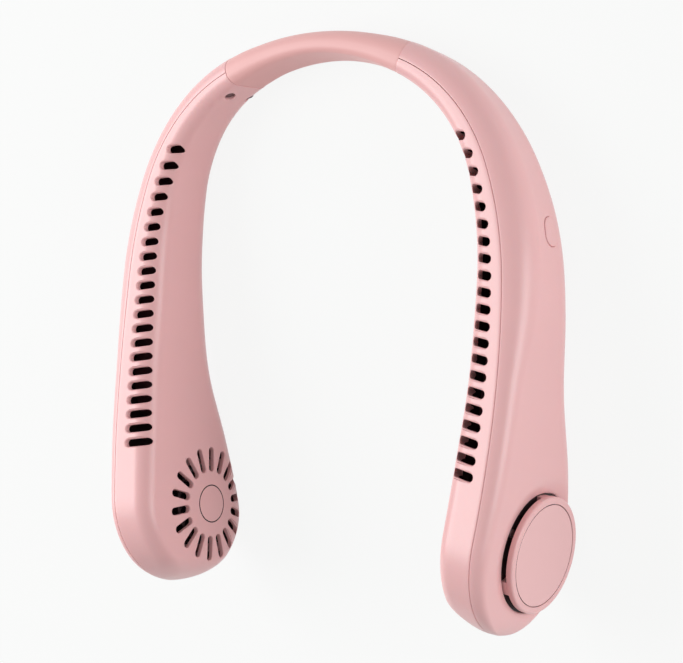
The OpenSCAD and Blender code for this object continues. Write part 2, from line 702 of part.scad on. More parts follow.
motor_screw_head_r = 1.2;
motor_screw_head_h = 0.6;
module motor_screw_set() color(steel) {
    round_fan(inner_floor - wall / 2 + fit, motor_screw_ring, motor_screw_angles)
        cylinder(r = motor_screw_r - fit / 3, h = wall / 2 - fit + base_t + fit, $fn = 24);
    round_fan(inner_floor + base_t, motor_screw_ring, motor_screw_angles)
        cylinder(r = motor_screw_head_r, h = motor_screw_head_h, $fn = 32);
}

plate_t = 0.9;
plate_sink = 0.1;
module outer_disc() color(pink) {
    rim_round = 0.8;
    difference() {
        on_fan(disc_low) rotate_extrude($fn = 128) {
            square([disc_r - rim_round, disc_t]);
            square([disc_r, disc_t - rim_round]);
            translate([disc_r - rim_round, disc_t - rim_round]) circle(rim_round, $fn = 32);
        }
        on_fan(disc_top - plate_t - plate_sink) cylinder(r = plate_r + fit, h = disc_t, $fn = 128);
    }
    round_fan(intake_top, 0, bridge_angles) rotate([0, 0, -bridge_spread / 2])
        rotate_extrude(angle = bridge_spread, $fn = 128)
            translate([disc_r - bridge_set_back - bridge_w, 0]) square([bridge_w, disc_gap + over]);
    round_fan(intake_top, disc_post_ring, disc_post_angles)
        cylinder(r = disc_post_r, h = disc_gap + over, $fn = 32);
    disc_pins();
}

module disc_plate() color(pink) on_fan(disc_top - plate_t - plate_sink)
    cylinder(r = plate_r, h = plate_t, $fn = 128);

shell_head_r = 1.5;
shell_head_h = 0.9;
module shell_screw_set() color(steel) {
    round_fan(intake_top, shell_screw_ring, shell_screw_angles)
        cylinder(r = shell_head_r, h = shell_head_h, $fn = 32);
    round_fan(inner_floor + 2 * over, shell_screw_ring, shell_screw_angles)
        cylinder(r = shell_screw_r - fit / 3, h = intake_top - inner_floor - 2 * over + fit, $fn = 24);
}

// Coupler: a plug in the arm's end with a tongue that reaches into the band
plug_len = 12;
tongue_x = 1.2;
tongue_t = 2.4;
tongue_w = 6.6;
tongue_len = 9;
socket_len = 10.5;
// Room beside the tongue, taken up when the arm is spread
swing_room = 3.4;
module band_coupler() color(dark) difference() {
    union() {
        difference() {
            loft([for (k = [0:6]) ring(mix(arm_start, band_q + plug_len, k / 6), wall + fit)]);
            joint_space(1);
        }
        on_arm(band_q) translate([tongue_x, -plug_len / 2, -tongue_w / 2])
            cube([tongue_t, plug_len / 2 + joint_in + tongue_len, tongue_w]);
    }
    at_coupler_screws(0) {
        translate([0, 0, -wall])
            cylinder(r = coupler_boss_r + fit, h = coupler_boss_h + fit + wall, $fn = 40);
        cylinder(r = coupler_shank_r, h = coupler_boss_h + coupler_grip, $fn = 24);
    }
}

module coupler_screw_set() color(steel) at_coupler_screws(coupler_boss_h - coupler_web) {
    translate([0, 0, -coupler_head_h]) cylinder(r = coupler_head_r, h = coupler_head_h, $fn = 32);
    cylinder(r = coupler_shank_r - fit / 3, h = coupler_grip, $fn = 24);
}

// Band: soft sleeve over a spring strip, with a channel that also takes the wires
channel_t = 3.4;
channel_w = strip_w + 5 * loose;
channel_x = 1.2;
channel_z = 1;
strip_x = channel_x + channel_t / 2 - loose - strip_t / 2;
strip_end_q = joint_q - socket_len - 5 * loose;
wire_r = 0.6;
function band_stations() = [for (k = [-8:8]) k * (band_q + over) / 8];
function band_ring(q, w) = let(s = section(abs(q), w), p = along([0, 0, 0], band_r, q))
    [for (v = s) [p[0] + v[0] * sin(p[2]), p[1] + v[0] * cos(p[2]), v[1]]];
// A profile carried round the band's bend, out to distance q each way
module round_band(q) translate([0, -band_r, 0]) rotate([0, 0, 90 - q / band_r * 180 / PI])
    rotate_extrude(angle = 2 * q / band_r * 180 / PI, $fn = 360) translate([band_r, 0])
        children();

module band_sleeve() color(soft_pink) difference() {
    loft([for (q = band_stations()) band_ring(q, band_step)]);
    round_band(joint_q - socket_len / 2) translate([channel_x, channel_z])
        square([channel_t, channel_w], center = true);
    for (m = [0, 1]) mirror([m, 0, 0]) {
        joint_space(-1);
        on_arm(band_q) translate([tongue_x - swing_room, -over, -tongue_w / 2 - loose])
            cube([tongue_t + swing_room + loose, joint_in + socket_len + over, tongue_w + 2 * loose]);
    }
}

module band_spring_strip() color(steel) round_band(strip_end_q) translate([strip_x, channel_z])
    square([strip_t, strip_w], center = true);

module band_wires() for (s = [-1, 1]) color(s > 0 ? [0.7, 0.1, 0.1] : dark)
    round_band(strip_end_q)
        translate([channel_x - channel_t / 2 + wire_r + fit, channel_z + 2 * s * wire_r])
        circle(wire_r, $fn = 24);

// Wires from the coupler down the duct side of each arm to the motor
module wiring(end_q) {
    first_q = band_q + plug_len + loose;
    n = 30;
    for (s = [0, 1]) color(s == 0 ? [0.7, 0.1, 0.1] : dark) loft([for (k = [0:n])
        let(q = mix(first_q, end_q, k / n), p = plan(q),
            x = outer_x(q, wall) - 2 * wire_r - fit - s * 2.4 * wire_r,
            z = mix(back_z(q, wall), front_z(q, wall), 0.3))
        [for (j = [7:-1:0]) let(r = x - wire_r * cos(j * 45))
            [p[0] + r * sin(p[2]), p[1] + r * cos(p[2]), z + wire_r * sin(j * 45)]]]);
}

module board() color(board_green) difference() {
    on_board(board_x) translate([0, -board_len / 2, -board_w / 2]) cube([board_t, board_len, board_w]);
    for (s = [-1, 1]) on_board(board_x - over) translate([0, s * board_screw_y, 0])
        rotate([0, 90, 0]) cylinder(r = board_screw_r + fit, h = board_t + 2 * over, $fn = 24);
}

module board_screw_set() color(steel) for (s = [-1, 1]) on_board(board_x)
    translate([0, s * board_screw_y, 0]) rotate([0, 90, 0]) {
        translate([0, 0, -board_t]) cylinder(r = 2 * board_screw_r, h = board_t, $fn = 32);
        cylinder(r = board_screw_r - fit / 3, h = 4 * board_t, $fn = 24);
    }

switch_t = 2.6;
plunger_t = 0.7;
module tactile_switch() {
    side = 6;
    on_button(port_x) {
        color(dark) translate([0, 0, switch_t / 2]) cube([side, side, switch_t], center = true);
        color(steel) cylinder(r = side / 3.4, h = switch_t + plunger_t, $fn = 48);
    }
}

// Button cap with a flange that stops it behind the wall and a stem that meets the switch
module power_button() color(pink) {
    skin = outer_x(button_q);
    proud = 0.3;
    flange_t = 0.8;
    flange_w = 0.7;
    sink = 1.4;
    stem_x = port_x + switch_t + plunger_t + button_travel + run_gap;
    flange_x = skin - wall - flange_t - sink;
    on_button(flange_x) linear_extrude(skin + proud - flange_x) button_shape();
    on_button(flange_x) linear_extrude(flange_t) button_shape(flange_w);
    on_button(stem_x) cylinder(r = button_w / 4, h = flange_x - stem_x + over, $fn = 40);
}

module charging_port() color(steel) on_port(port_low) difference() {
    linear_extrude(port_len) stadium(port_t, port_w);
    shell_t = 0.3;
    end_t = 1;
    translate([0, 0, -over]) linear_extrude(port_len - end_t + over)
        stadium(port_t - 2 * shell_t, port_w - 2 * shell_t);
}

right_side() band_sleeve();
right_side() band_spring_strip();
right_side() band_wires();
left_side() band_coupler();  // left_band_coupler
right_side() band_coupler();  // right_band_coupler
left_side() coupler_screw_set();  // left_coupler_screws
right_side() coupler_screw_set();  // right_coupler_screws
left_side() inner_shell();  // left_inner_shell
right_side() inner_shell();  // right_inner_shell
left_side() outer_shell(false);  // left_outer_shell
right_side() outer_shell(true);  // right_outer_shell
left_side() air_divider();  // left_air_divider
right_side() air_divider();  // right_air_divider
left_side() battery();  // left_battery
right_side() battery();  // right_battery
left_side() motor_base();  // left_motor_base
right_side() motor_base();  // right_motor_base
left_side() motor_stator();  // left_motor_stator
right_side() motor_stator();  // right_motor_stator
left_side() motor_bearing();  // left_motor_bearing
right_side() motor_bearing();  // right_motor_bearing
left_side() motor_shaft();  // left_motor_shaft
right_side() motor_shaft();  // right_motor_shaft
left_side() motor_rotor();  // left_motor_rotor
right_side() motor_rotor();  // right_motor_rotor
left_side() blower_wheel();  // left_blower_wheel
right_side() blower_wheel();  // right_blower_wheel
left_side() motor_screw_set();  // left_motor_screws
right_side() motor_screw_set();  // right_motor_screws
left_side() intake_plate();  // left_intake_plate
right_side() intake_plate();  // right_intake_plate
left_side() outer_disc();  // left_outer_disc
right_side() outer_disc();  // right_outer_disc
left_side() disc_plate();  // left_disc_plate
right_side() disc_plate();  // right_disc_plate
left_side() shell_screw_set();  // left_shell_screws
right_side() shell_screw_set();  // right_shell_screws
right_side() board();  // control_board
right_side() board_screw_set();  // board_screws
right_side() tactile_switch();
right_side() power_button();
right_side() charging_port();
left_side() wiring(battery_q - battery_len / 2 - loose);  // left_wiring
right_side() wiring(button_q - board_len / 2 - loose);  // right_wiring
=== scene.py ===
"""Neck fan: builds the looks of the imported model, lights it and sets the camera.

Each arm is a section carried along a plan curve of four arcs. The section's sizes change along it by
the tables of shares. Everything is worked out with numpy in plan coordinates in millimetres: X and Y
follow the curve, Z is the height, and the parting line starts at the apex of the band at 0, 0. to_row()
then tips the result to where the fan lies and turns it into metres. The left arm is the right one
mirrored.
"""

import itertools
import math
from collections import namedtuple

import bmesh
import bpy
import numpy as np
from mathutils import Matrix


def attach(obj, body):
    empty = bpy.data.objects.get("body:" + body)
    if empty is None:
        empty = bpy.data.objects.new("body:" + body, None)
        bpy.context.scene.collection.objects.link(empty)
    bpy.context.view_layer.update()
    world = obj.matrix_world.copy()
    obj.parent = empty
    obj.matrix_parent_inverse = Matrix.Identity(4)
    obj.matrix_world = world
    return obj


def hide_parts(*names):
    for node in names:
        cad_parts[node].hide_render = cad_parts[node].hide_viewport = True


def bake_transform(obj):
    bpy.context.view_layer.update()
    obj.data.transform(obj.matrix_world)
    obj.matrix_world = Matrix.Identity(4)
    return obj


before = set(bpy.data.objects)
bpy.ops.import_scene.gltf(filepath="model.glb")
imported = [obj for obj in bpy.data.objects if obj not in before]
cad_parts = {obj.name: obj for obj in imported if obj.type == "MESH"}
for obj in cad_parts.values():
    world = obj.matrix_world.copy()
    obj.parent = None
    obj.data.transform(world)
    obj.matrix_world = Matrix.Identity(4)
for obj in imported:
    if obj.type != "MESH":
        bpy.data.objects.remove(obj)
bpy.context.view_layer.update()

bl_info = {
    "name": "Neck Fan",
    "version": (1, 0, 0),
    "blender": (4, 5, 0),
    "location": "3D Viewport > Sidebar > Neck Fan",
    "description": "Skins, finishes, lights and camera for a neck fan with two blowers",
    "category": "Object",
}

# Form of the fan, in millimetres and degrees, as the solids have it
BAND_R, BAND_A = 107.5, 21.8
SHOULDER_R, SHOULDER_A = 65.4, 47.4
SIDE_R, SIDE_A = 130.6, 17.1
LOWER_R, LOWER_LEN = 438.0, 119.0
INNER_T, OUTER_T, POD_W, FRONT_RISE = 17.0, 9.3, 60.0, 9.4
INNER_SLOPE, CROWN, BOW = math.radians(5), 1.12, 0.09
INNER_EDGE_R, BACK_INNER_R, BACK_EDGE_R = 7.4, 9.5, 9.8
TIP_W_R, TIP_T_R = 32.0, 8.8
WALL, SEAM_GAP, BAND_STEP = 1.8, 0.2, 0.4
JOINT_IN, JOINT_LEAN, JOINT_GAP = 2.8, math.radians(15), 0.3
INNER_SHARES = (0.174, 0.25, 0.374, 0.52, 0.71, 0.85, 0.91, 1, 0.99, 0.9)
OUTER_SHARES = (0.657, 0.726, 0.84, 0.89, 1, 0.93, 0.655, 0.58, 0.484, 0.403)
FRONT_SHARES = (1, 0.95, 0.83, 0.64, 0.39, 0.21, 0.13, 0.12, 0.11, 0.11)
BACK_SHARES = (0.155, 0.158, 0.229, 0.342, 0.459, 0.553, 0.667, 0.862, 1.011, 1.04)
REST_TILT, ROW_Y, ROW_Z = math.radians(16.3817), 97.9929, 9.76712

SLOT_N, SLOT_PITCH, SLOT_W, SLOT_FIRST = 21, 5.48, 2.9, 22.2
SLOT_MARGIN, SLOT_DRIFT, SLOT_REACH = 2.1, 0.16, 0.9
SLOT_FAR, SLOT_FAR_N, SLOT_FAR_STEP = 10.1, 4.5, 0.32
SLOT_LEAN = math.radians(10.6)
FAN_FROM_TIP, FAN_DEPTH, GRILLE_REACH = 29.8, 36.0, 7.0
GRILLE_N, GRILLE_R, GRILLE_IN_R, GRILLE_BACK, MARK_R = 18, 22.4, 12.8, 20.4, 7.3
DISC_R, DISC_T, DISC_RISE, DISC_GAP, PLATE_R = 20.5, 2.4, 1.9, 2.1, 17.9
PLATE_T, PLATE_SINK, INTAKE_T = 0.9, 0.1, 0.9
RECESS_R, LIP_DROP, CUP_FLOOR, CUP_WALL, THROAT_R = 21.0, 1.4, 1.0, 1.8, 13.0
DISH_SLOPE = math.radians(20.8)
SHELL_SCREW_ANGLES, SHELL_SCREW_RING, SHELL_SCREW_R, SHELL_BOSS_R = (20, 120, -120), 19.3, 0.9, 1.8
BRIDGE_ANGLES, BRIDGE_SPREAD, BRIDGE_W, BRIDGE_BACK = (-37, 81.5), 15.5, 3.2, 0.15
POST_ANGLES, POST_RING, POST_R, PIN_R = (150, -150), 15.2, 1.6, 0.8
BUTTON_Q, BUTTON_DEPTH, BUTTON_H, BUTTON_W = 117.0, 15.0, 10.2, 7.9
BUTTON_PROUD, FIT = 0.3, 0.15
SCREWS, SCREW_HOLE_R, SCREW_SHANK_R = ((46.5518, 1.36985), (44.9518, -8.93015)), 2.0, 0.9
BOSS_R, BOSS_H, BOSS_WEB, BOSS_SPAN, LINING_EDGE = 3.0, 3.0, 1.0, (36.0, 70.0), 0.02
PORT_W, PORT_T, PORT_Y, PORT_X, PORT_BACK, PORT_DEPTH = 8.94, 3.16, 9.0, 0.8, 1.0, 8.8
SWITCH_X, SWITCH_REACH = 0.8, 3.92

# The band's channel for the strip and wires, and its socket for the coupler's tongue
CHANNEL_X, CHANNEL_Z, CHANNEL_SHORT = (-0.5, 2.9), (-3.75, 5.75), 5.25
SOCKET_X, SOCKET_Z, SOCKET_ALONG = (-2.2, 3.9), (-3.6, 3.6), (-0.5, 13.3)

# How far along the arm the joint's lean, the band's step and the band's bend reach
LEAN_REACH, STEP_START, STEP_REACH, BEND_REACH = 14.0, 16.0, 12.0, 24.0

# Stage in metres, and the point that the camera looks at in millimetres from the apex
LIT_POINT, KEY_PLACE, SIDE_PLACE = (0, 0, 0.03), (-0.75, 0.21, 0.69), (1.0, 0.05, 0.22)
KEY_SIZE, SIDE_SIZE, FLOOR_HALF = 0.8, 0.5, 3.0
FLOOR_COLOUR, BACKDROP_COLOUR, BACKDROP_SHARE = (0.86, 0.86, 0.86), (0.955, 0.96, 0.955), 0.93
AIM_RIGHT, AIM_UP, AIM_BACK = 14.632, -10.5, 92.2

BAND_Q = BAND_R * math.radians(BAND_A)
SHOULDER_Q = BAND_Q + SHOULDER_R * math.radians(SHOULDER_A)
SIDE_Q = SHOULDER_Q + SIDE_R * math.radians(SIDE_A)
ARM_Q = SIDE_Q + LOWER_LEN
FAN_Q = ARM_Q - FAN_FROM_TIP
JOINT_Q = BAND_Q - JOINT_IN
MM = 0.001


def at(values, u):
    """Smooth value of a table of shares: a Catmull-Rom cubic through its even steps, u from 0 to 1."""
    tab = np.asarray(values, float)
    n = len(tab) - 1
    s = np.clip(u, 0, 1) * n
    i = np.minimum(np.floor(s).astype(int), n - 1)
    t = s - i
    b, c = tab[i], tab[i + 1]
    a = np.where(i > 0, tab[np.maximum(i - 1, 0)], c)
    d = np.where(i + 2 <= n, tab[np.minimum(i + 2, n)], 2 * c - b)
    return b + 0.5 * t * ((c - a) + t * ((2 * a - 5 * b + 4 * c - d) + t * (3 * b - a - 3 * c + d)))


Section = namedtuple("Section", "i o f b mid half rc ri rn rb yc yi")


def plan(q):
    """Point and heading on the parting line at distance q. On an arc of radius r a change of heading
    moves the point by r times the change of sine and cosine of the heading."""
    q = np.asarray(q, float)
    x, y, h, start = np.zeros_like(q), np.zeros_like(q), np.zeros_like(q), 0.0
    arcs = (
        (BAND_R, -np.inf, BAND_Q),
        (SHOULDER_R, 0, SHOULDER_Q - BAND_Q),
        (SIDE_R, 0, SIDE_Q - SHOULDER_Q),
        (LOWER_R, 0, np.inf),
    )
    for radius, low, high in arcs:
        turned = h + np.clip(q - start, low, high) / radius
        x = x + radius * (np.sin(turned) - np.sin(h))
        y = y + radius * (np.cos(turned) - np.cos(h))
        h, start = turned, start + high
    return x, y, h


def tip(s, radius):
    """How far a round end of that radius has closed at distance s before it: a quarter circle."""
    return np.sqrt(np.clip(1 - np.clip(1 - s / radius, 0, 1) ** 2, 0, 1))


def sizes_at(q, w=0.0):
    """Sizes of the section at q, drawn in by w: half depths i and o, front and back heights f and b,
    their middle and half distance, and the radii and heights of the crown (c) and the corners. The
    crown touches the parting line at its front point, and its slope touches the inner corner."""
    u = q / ARM_Q
    thick, wide = tip(ARM_Q - w - q, TIP_T_R - w), tip(ARM_Q - w - q, TIP_W_R - w)
    inner, outer = INNER_T * at(INNER_SHARES, u), OUTER_T * at(OUTER_SHARES, u)
    front, back = FRONT_RISE * at(FRONT_SHARES, u) - w, w - POD_W * at(BACK_SHARES, u)
    grow = (inner + outer) / (INNER_T + OUTER_T * OUTER_SHARES[8])
    i, o = (inner - w) * thick, (outer - w) * thick
    mid, half = (front + back) / 2, (front - back) / 2 * wide
    cap = np.minimum(0.45 * (i + o), 0.9 * half)
    rc = np.minimum(np.maximum(CROWN * outer - w, WALL / 3), np.minimum(0.54 * (i + o), 0.9 * half))
    ri, rn, rb = (np.minimum(np.maximum(r * grow - w, WALL / 3), cap)
                  for r in (INNER_EDGE_R, BACK_INNER_R, BACK_EDGE_R))
    full_r, full_o = np.maximum(rc + w * thick, 1e-9), o + w * thick
    turn = np.minimum(np.arccos(np.clip(1 - full_o / full_r, -1, 1)), math.pi / 2 + INNER_SLOPE)
    slide = math.tan(INNER_SLOPE)
    yc = mid + half + w * thick - full_r * np.sin(turn) + slide * (full_o - full_r + full_r * np.cos(turn))
    yi = yc + (rc - ri + math.sin(INNER_SLOPE) * (rc + ri - i - o)) / math.cos(INNER_SLOPE)
    return Section(i, o, mid + half, mid - half, mid, half, rc, ri, rn, rb, yc, yi)


def bowed(s, z):
    """Share that the inner face keeps of its depth at height z: it draws in as the square of the
    distance from the middle."""
    return 1 - BOW * np.clip((z - s.mid) / np.maximum(s.half, 1e-6), -1, 1) ** 2


def front_curve(s, x):
    """Height of the front at a distance x from the parting line, before the bow: crown arc, then the
    slope that touches it, then the corner arc."""
    cx = s.o - s.rc
    crown = s.yc + np.sqrt(np.clip(s.rc ** 2 - (x - cx) ** 2, 0, None))
    slope = s.yc + (s.rc + math.sin(INNER_SLOPE) * (x - cx)) / math.cos(INNER_SLOPE)
    corner = s.yi + np.sqrt(np.clip(s.ri ** 2 - (x + s.i - s.ri) ** 2, 0, None))
    lean = math.sin(INNER_SLOPE)
    return np.where(x > cx - s.rc * lean, crown, np.where(x > s.ri - s.i - s.ri * lean, slope, corner))


def back_curve(s, x):
    """Height of the back at a distance x from the parting line, before the bow: flat, then the inner
    corner's arc."""
    off = s.rn - s.i - x
    return s.b + np.where(off > 0, s.rn - np.sqrt(np.clip(s.rn ** 2 - off ** 2, 0, None)), 0.0)


def spread(a, b, n):
    """n values from a up to, but not with, b, for each row."""
    t = np.linspace(0, 1, n, endpoint=False)
    return a[:, None] * (1 - t) + b[:, None] * t


def line(a, b, n):
    """n points from a up to, but not with, b. Points are arrays with height and depth last."""
    t = np.linspace(0, 1, n, endpoint=False)[:, None]
    return a[:, None, :] * (1 - t) + b[:, None, :] * t


def arc(centre, radius, start, end, n):
    """n points on a corner arc from angle start up to, but not with, end, both in radians, the same
    for all rows or one for each."""
    a = spread(np.reshape(start, -1), np.reshape(end, -1), n)
    ring = np.stack([np.cos(a), np.sin(a)], -1)
    return centre[:, None, :] + radius[:, None, None] * ring


def half_section(q, side, w=0.0, gap=0.0, edge=0.0):
    """Outline of one half of the section at each q, from the front seam round to the back seam.
    side is -1 for the half towards the neck and 1 for the other. gap is the distance from the parting
    line, and edge the radius that rounds off both ends of the outline at the seam."""
    s = sizes_at(q, w)
    wide = Section(*(v[:, None] for v in s))
    room = 0.3 * np.minimum(s.i, s.o)
    g, e = np.minimum(gap, room), np.minimum(edge, room)
    seam, close = [], []
    for a in np.radians([90, 60, 30, 0]):
        x, drop = side * (g + e * (1 - math.sin(a))), e * (1 - math.cos(a))
        seam.append(np.stack([x, front_curve(s, x) - drop], -1)[:, None, :])
        close.insert(0, np.stack([x, back_curve(s, x) + drop], -1)[:, None, :])
    start = side * (g + e)
    if side < 0:
        top, low = np.stack([s.ri - s.i, s.yi], -1), np.stack([s.rn - s.i, s.b + s.rn], -1)
        turn = np.arccos(np.clip((start - top[:, 0]) / np.maximum(s.ri, 1e-9), -1, 1))
        turn = np.maximum(turn, math.pi / 2 + INNER_SLOPE)
        last = 2 * math.pi - np.arccos(np.clip((start - low[:, 0]) / np.maximum(s.rn, 1e-9), -1, 0))
        x = spread(start, top[:, 0] + s.ri * np.cos(turn), 20)
        front = np.stack([x, front_curve(wide, x)], -1)
        corners = arc(top, s.ri, turn, math.pi, 16), arc(low, s.rn, math.pi, last, 16)
        foot, wall_x = low[:, 0] + s.rn * np.cos(last), -s.i
    else:
        front = crown_path(s, start, 30)
        top, low = np.stack([s.o, s.yc], -1), np.stack([s.o - s.rb, s.b + s.rb], -1)
        corners = front[:, :0], arc(low, s.rb, 0, -math.pi / 2, 18)
        foot, wall_x = low[:, 0], s.o
    flat = line(np.stack([wall_x, top[:, 1]], -1), np.stack([wall_x, low[:, 1]], -1), 44)
    x = spread(foot, start, 9)
    back = np.stack([x, back_curve(wide, x)], -1)
    rim = np.concatenate(seam[:3] + [front, corners[0], flat, corners[1], back] + close, axis=1)
    x, z = rim[..., 0], rim[..., 1]
    return np.stack([np.where(x < 0, x * bowed(wide, z), x), z], -1)


def crown_path(s, start, n):
    """n points from start on the front out to the side of the crown, but not with it, at even steps of
    the path: first the slope, where it begins outside the parting line, then the crown's arc."""
    cx, lean = s.o - s.rc, math.sin(INNER_SLOPE)
    foot = cx - s.rc * lean
    flat = np.maximum(foot - start, 0) / math.cos(INNER_SLOPE)
    turn = np.arccos(np.clip((np.maximum(start, foot) - cx) / np.maximum(s.rc, 1e-9), -1, 1))
    walk = np.linspace(0, 1, n, endpoint=False)[None, :] * (flat + s.rc * turn)[:, None]
    on_flat = walk < flat[:, None]
    a = turn[:, None] - (walk - flat[:, None]) / np.maximum(s.rc, 1e-9)[:, None]
    wide = Section(*(v[:, None] for v in s))
    x = np.where(on_flat, start[:, None] + walk * math.cos(INNER_SLOPE), cx[:, None] + wide.rc * np.cos(a))
    return np.stack([x, np.where(on_flat, front_curve(wide, x), wide.yc + wide.rc * np.sin(a))], -1)


def carry(q, outline):
    """Points in plan coordinates of outlines [outward, height] carried along the parting line."""
    x, y, h = plan(q)
    v = outline[..., 0]
    grow = (slice(None),) + (None,) * (v.ndim - 1)
    return np.stack([x[grow] + v * np.sin(h)[grow], y[grow] + v * np.cos(h)[grow], outline[..., 1]], -1)


def stations(q0, w=0.0, step=1.0):
    """Distances from q0 to the closed tip, even at first and then by the sine of even angles."""
    q1 = ARM_Q - TIP_W_R
    even = np.linspace(q0, q1, max(2, int((q1 - q0) / step)), endpoint=False)
    closing = q1 + (TIP_W_R - w) * np.sin(np.radians(np.linspace(0, 90, 49)))
    return np.concatenate([even, closing])


def leaning_q(x, z, gap):
    """Distance on the parting line at which a point x out from it and at height z lies in the joint's
    plane, moved along the arm by gap. The band's bend is an arc, so the arcsine turns the straight
    distance into one along it."""
    y = JOINT_IN - gap / math.cos(JOINT_LEAN) - z * math.tan(JOINT_LEAN)
    return BAND_Q - BAND_R * np.arcsin(y / (BAND_R + x))


def joined(q, outline, gap, w_end):
    """Points of an outline carried along the parting line, with the end at the joint turned into its
    leaning plane. outline gives the points at distances q and depths w. w_end is the depth of each
    station and of the end. Each point's shift fades to nothing over LEAN_REACH, and the outline is
    worked out again at the place that the point has moved to."""
    flat = outline(q, np.zeros_like(q) + w_end[0])
    end = outline(np.array([JOINT_Q]), np.array([w_end[1]]))[0]
    for _ in range(3):
        moved = leaning_q(end[:, 0], end[:, 1], gap)
        many = outline(moved, np.full_like(moved, w_end[1]))
        end = many[np.arange(len(moved)), np.arange(len(moved))]
    fade = np.clip(1 - np.abs(q - JOINT_Q) / LEAN_REACH, 0, 1)
    near = fade > 0
    places = q[near][:, None] + fade[near][:, None] * (moved - JOINT_Q)[None, :]
    depth = np.broadcast_to((np.zeros_like(q) + w_end[0])[near][:, None], places.shape)
    many = outline(places.ravel(), depth.ravel())
    cols = np.tile(np.arange(places.shape[1]), places.shape[0])
    bent = many[np.arange(len(cols)), cols]
    points = carry(q, flat)
    points[near] = carry(places.ravel(), bent).reshape(*places.shape, 3)
    return points


def to_row(points, side=1):
    """Plan coordinates in millimetres to the row frame in metres, mirrored for the left arm."""
    x, y, z = points[..., 0], points[..., 1], points[..., 2]
    c, s = math.cos(REST_TILT), math.sin(REST_TILT)
    return np.stack([side * x, y * c + z * s + ROW_Y, -y * s + z * c + ROW_Z], -1) * MM


FAN_H = float(plan(FAN_Q)[2])


def from_arm(q0, depth, x, along, up):
    """Plan coordinates of points in the local frame of the arm at q0 and that depth: x points outward,
    along towards the apex and up to the front."""
    x0, y0, h = (float(v) for v in plan(q0))
    return np.stack([
        x0 + x * math.sin(h) - along * math.cos(h),
        y0 + x * math.cos(h) + along * math.sin(h),
        up - depth + 0 * x,
    ], -1)


def in_arm(q0, depth, points):
    """The same frame the other way: x, along and up of points in plan coordinates."""
    x0, y0, h = (float(v) for v in plan(q0))
    dx, dy = points[..., 0] - x0, points[..., 1] - y0
    return (dx * math.sin(h) + dy * math.cos(h), -dx * math.cos(h) + dy * math.sin(h),
            points[..., 2] + depth)


def face_x(q, z, side):
    """Distance of the skin's side from the parting line at q and height z, with its corners and bow."""
    s = sizes_at(q)
    half, top_r, top, low_r = (s.i, s.ri, s.yi, s.rn) if side < 0 else (s.o, s.rc, s.yc, s.rb)
    above = np.clip((z - top) / top_r, 0, 1)
    below = np.clip((s.b + low_r - z) / low_r, 0, 1)
    drop = top_r * (1 - np.sqrt(1 - above ** 2)) + low_r * (1 - np.sqrt(1 - below ** 2))
    return side * (half - drop) * (bowed(s, z) if side < 0 else 1)


def face_in_arm(q0, depth, along, up, side):
    """x of the skin's flat side in the local frame of the arm at q0. The distance on the parting line
    under each point is found by steps of the remaining error."""
    z = up - depth
    q = q0 - along
    for _ in range(8):
        points = carry(q.ravel(), np.stack([face_x(q, z, side), z], -1).reshape(-1, 2))
        x, t, _up = in_arm(q0, depth, points)
        q = q + (t.reshape(q.shape) - along)
    return x.reshape(q.shape)


def front_z(x, y):
    """Height of the front face on the neck's side over points of the plan. The distance on the parting
    line is found by projecting each point on it, and the bow is taken out in a few rounds."""
    q = 20 - y
    for _ in range(30):
        px, py, h = plan(q)
        q = q + np.clip((x - px) * np.cos(h) - (y - py) * np.sin(h), -30, 30)
    px, py, h = plan(q)
    v = (x - px) * np.sin(h) + (y - py) * np.cos(h)
    s = sizes_at(q)
    z = s.f
    for _ in range(6):
        z = front_curve(s, np.maximum(v / bowed(s, z), -0.9995 * s.i))
    return z


def blend_low(a, b, k):
    """Lower of two heights with a soft change of that width between them."""
    t = np.clip(0.5 + 0.5 * (b - a) / k, 0, 1)
    return b * (1 - t) + a * t - k * t * (1 - t)


POD_IN, POD_OUT = float(sizes_at(np.array(FAN_Q)).i), float(sizes_at(np.array(FAN_Q)).o)
DISC_TOP = POD_OUT + DISC_RISE
DISC_LOW = DISC_TOP - DISC_T
INTAKE_TOP = DISC_LOW - DISC_GAP
RECESS_FLOOR = INTAKE_TOP - INTAKE_T
LIP = DISC_LOW - LIP_DROP
FEET = [(DISC_R - BRIDGE_BACK - BRIDGE_W / 2, angle) for angle in BRIDGE_ANGLES]
FEET += [(POST_RING, angle) for angle in POST_ANGLES]


def dome_height(radius, look):
    """Swelling of the grille over the flat side of the pod: a smooth bump, 1 at the axis."""
    return look.dome * (1 - np.clip(radius / look.dome_r, 0, 1) ** 2) ** 2


def pod_shape(points, side, look, inside=False):
    """Skin of the pod with its dome or dish: points are pushed along the blower's axis, out to the
    dome on the neck's side, or down to the dish round the disc on the other side."""
    x, t, up = in_arm(FAN_Q, FAN_DEPTH, points)
    radius = np.hypot(t, up)
    if side < 0:
        lift = np.where((x < -5) & (radius < 30), -dome_height(radius, look), 0.0)
        moved = x + lift * (0 if inside else 1)
    else:
        dish = LIP + np.maximum(radius - RECESS_R, -1) * math.tan(DISH_SLOPE) - (1.3 if inside else 0)
        moved = np.where(radius < 40, blend_low(x, dish, look.dish_blend), x)
    push = moved - x
    return points + np.stack([push * math.sin(FAN_H), push * math.cos(FAN_H), 0 * push], -1)


def grid_faces(rows, cols, wrap=False):
    """Quads of a grid of points, row by row. wrap joins the last column to the first."""
    i = np.arange(rows - 1)[:, None] * cols
    j = np.arange(cols if wrap else cols - 1)[None, :]
    k = (j + 1) % cols
    return np.stack([i + j, i + cols + j, i + cols + k, i + k], -1).reshape(-1, 4)


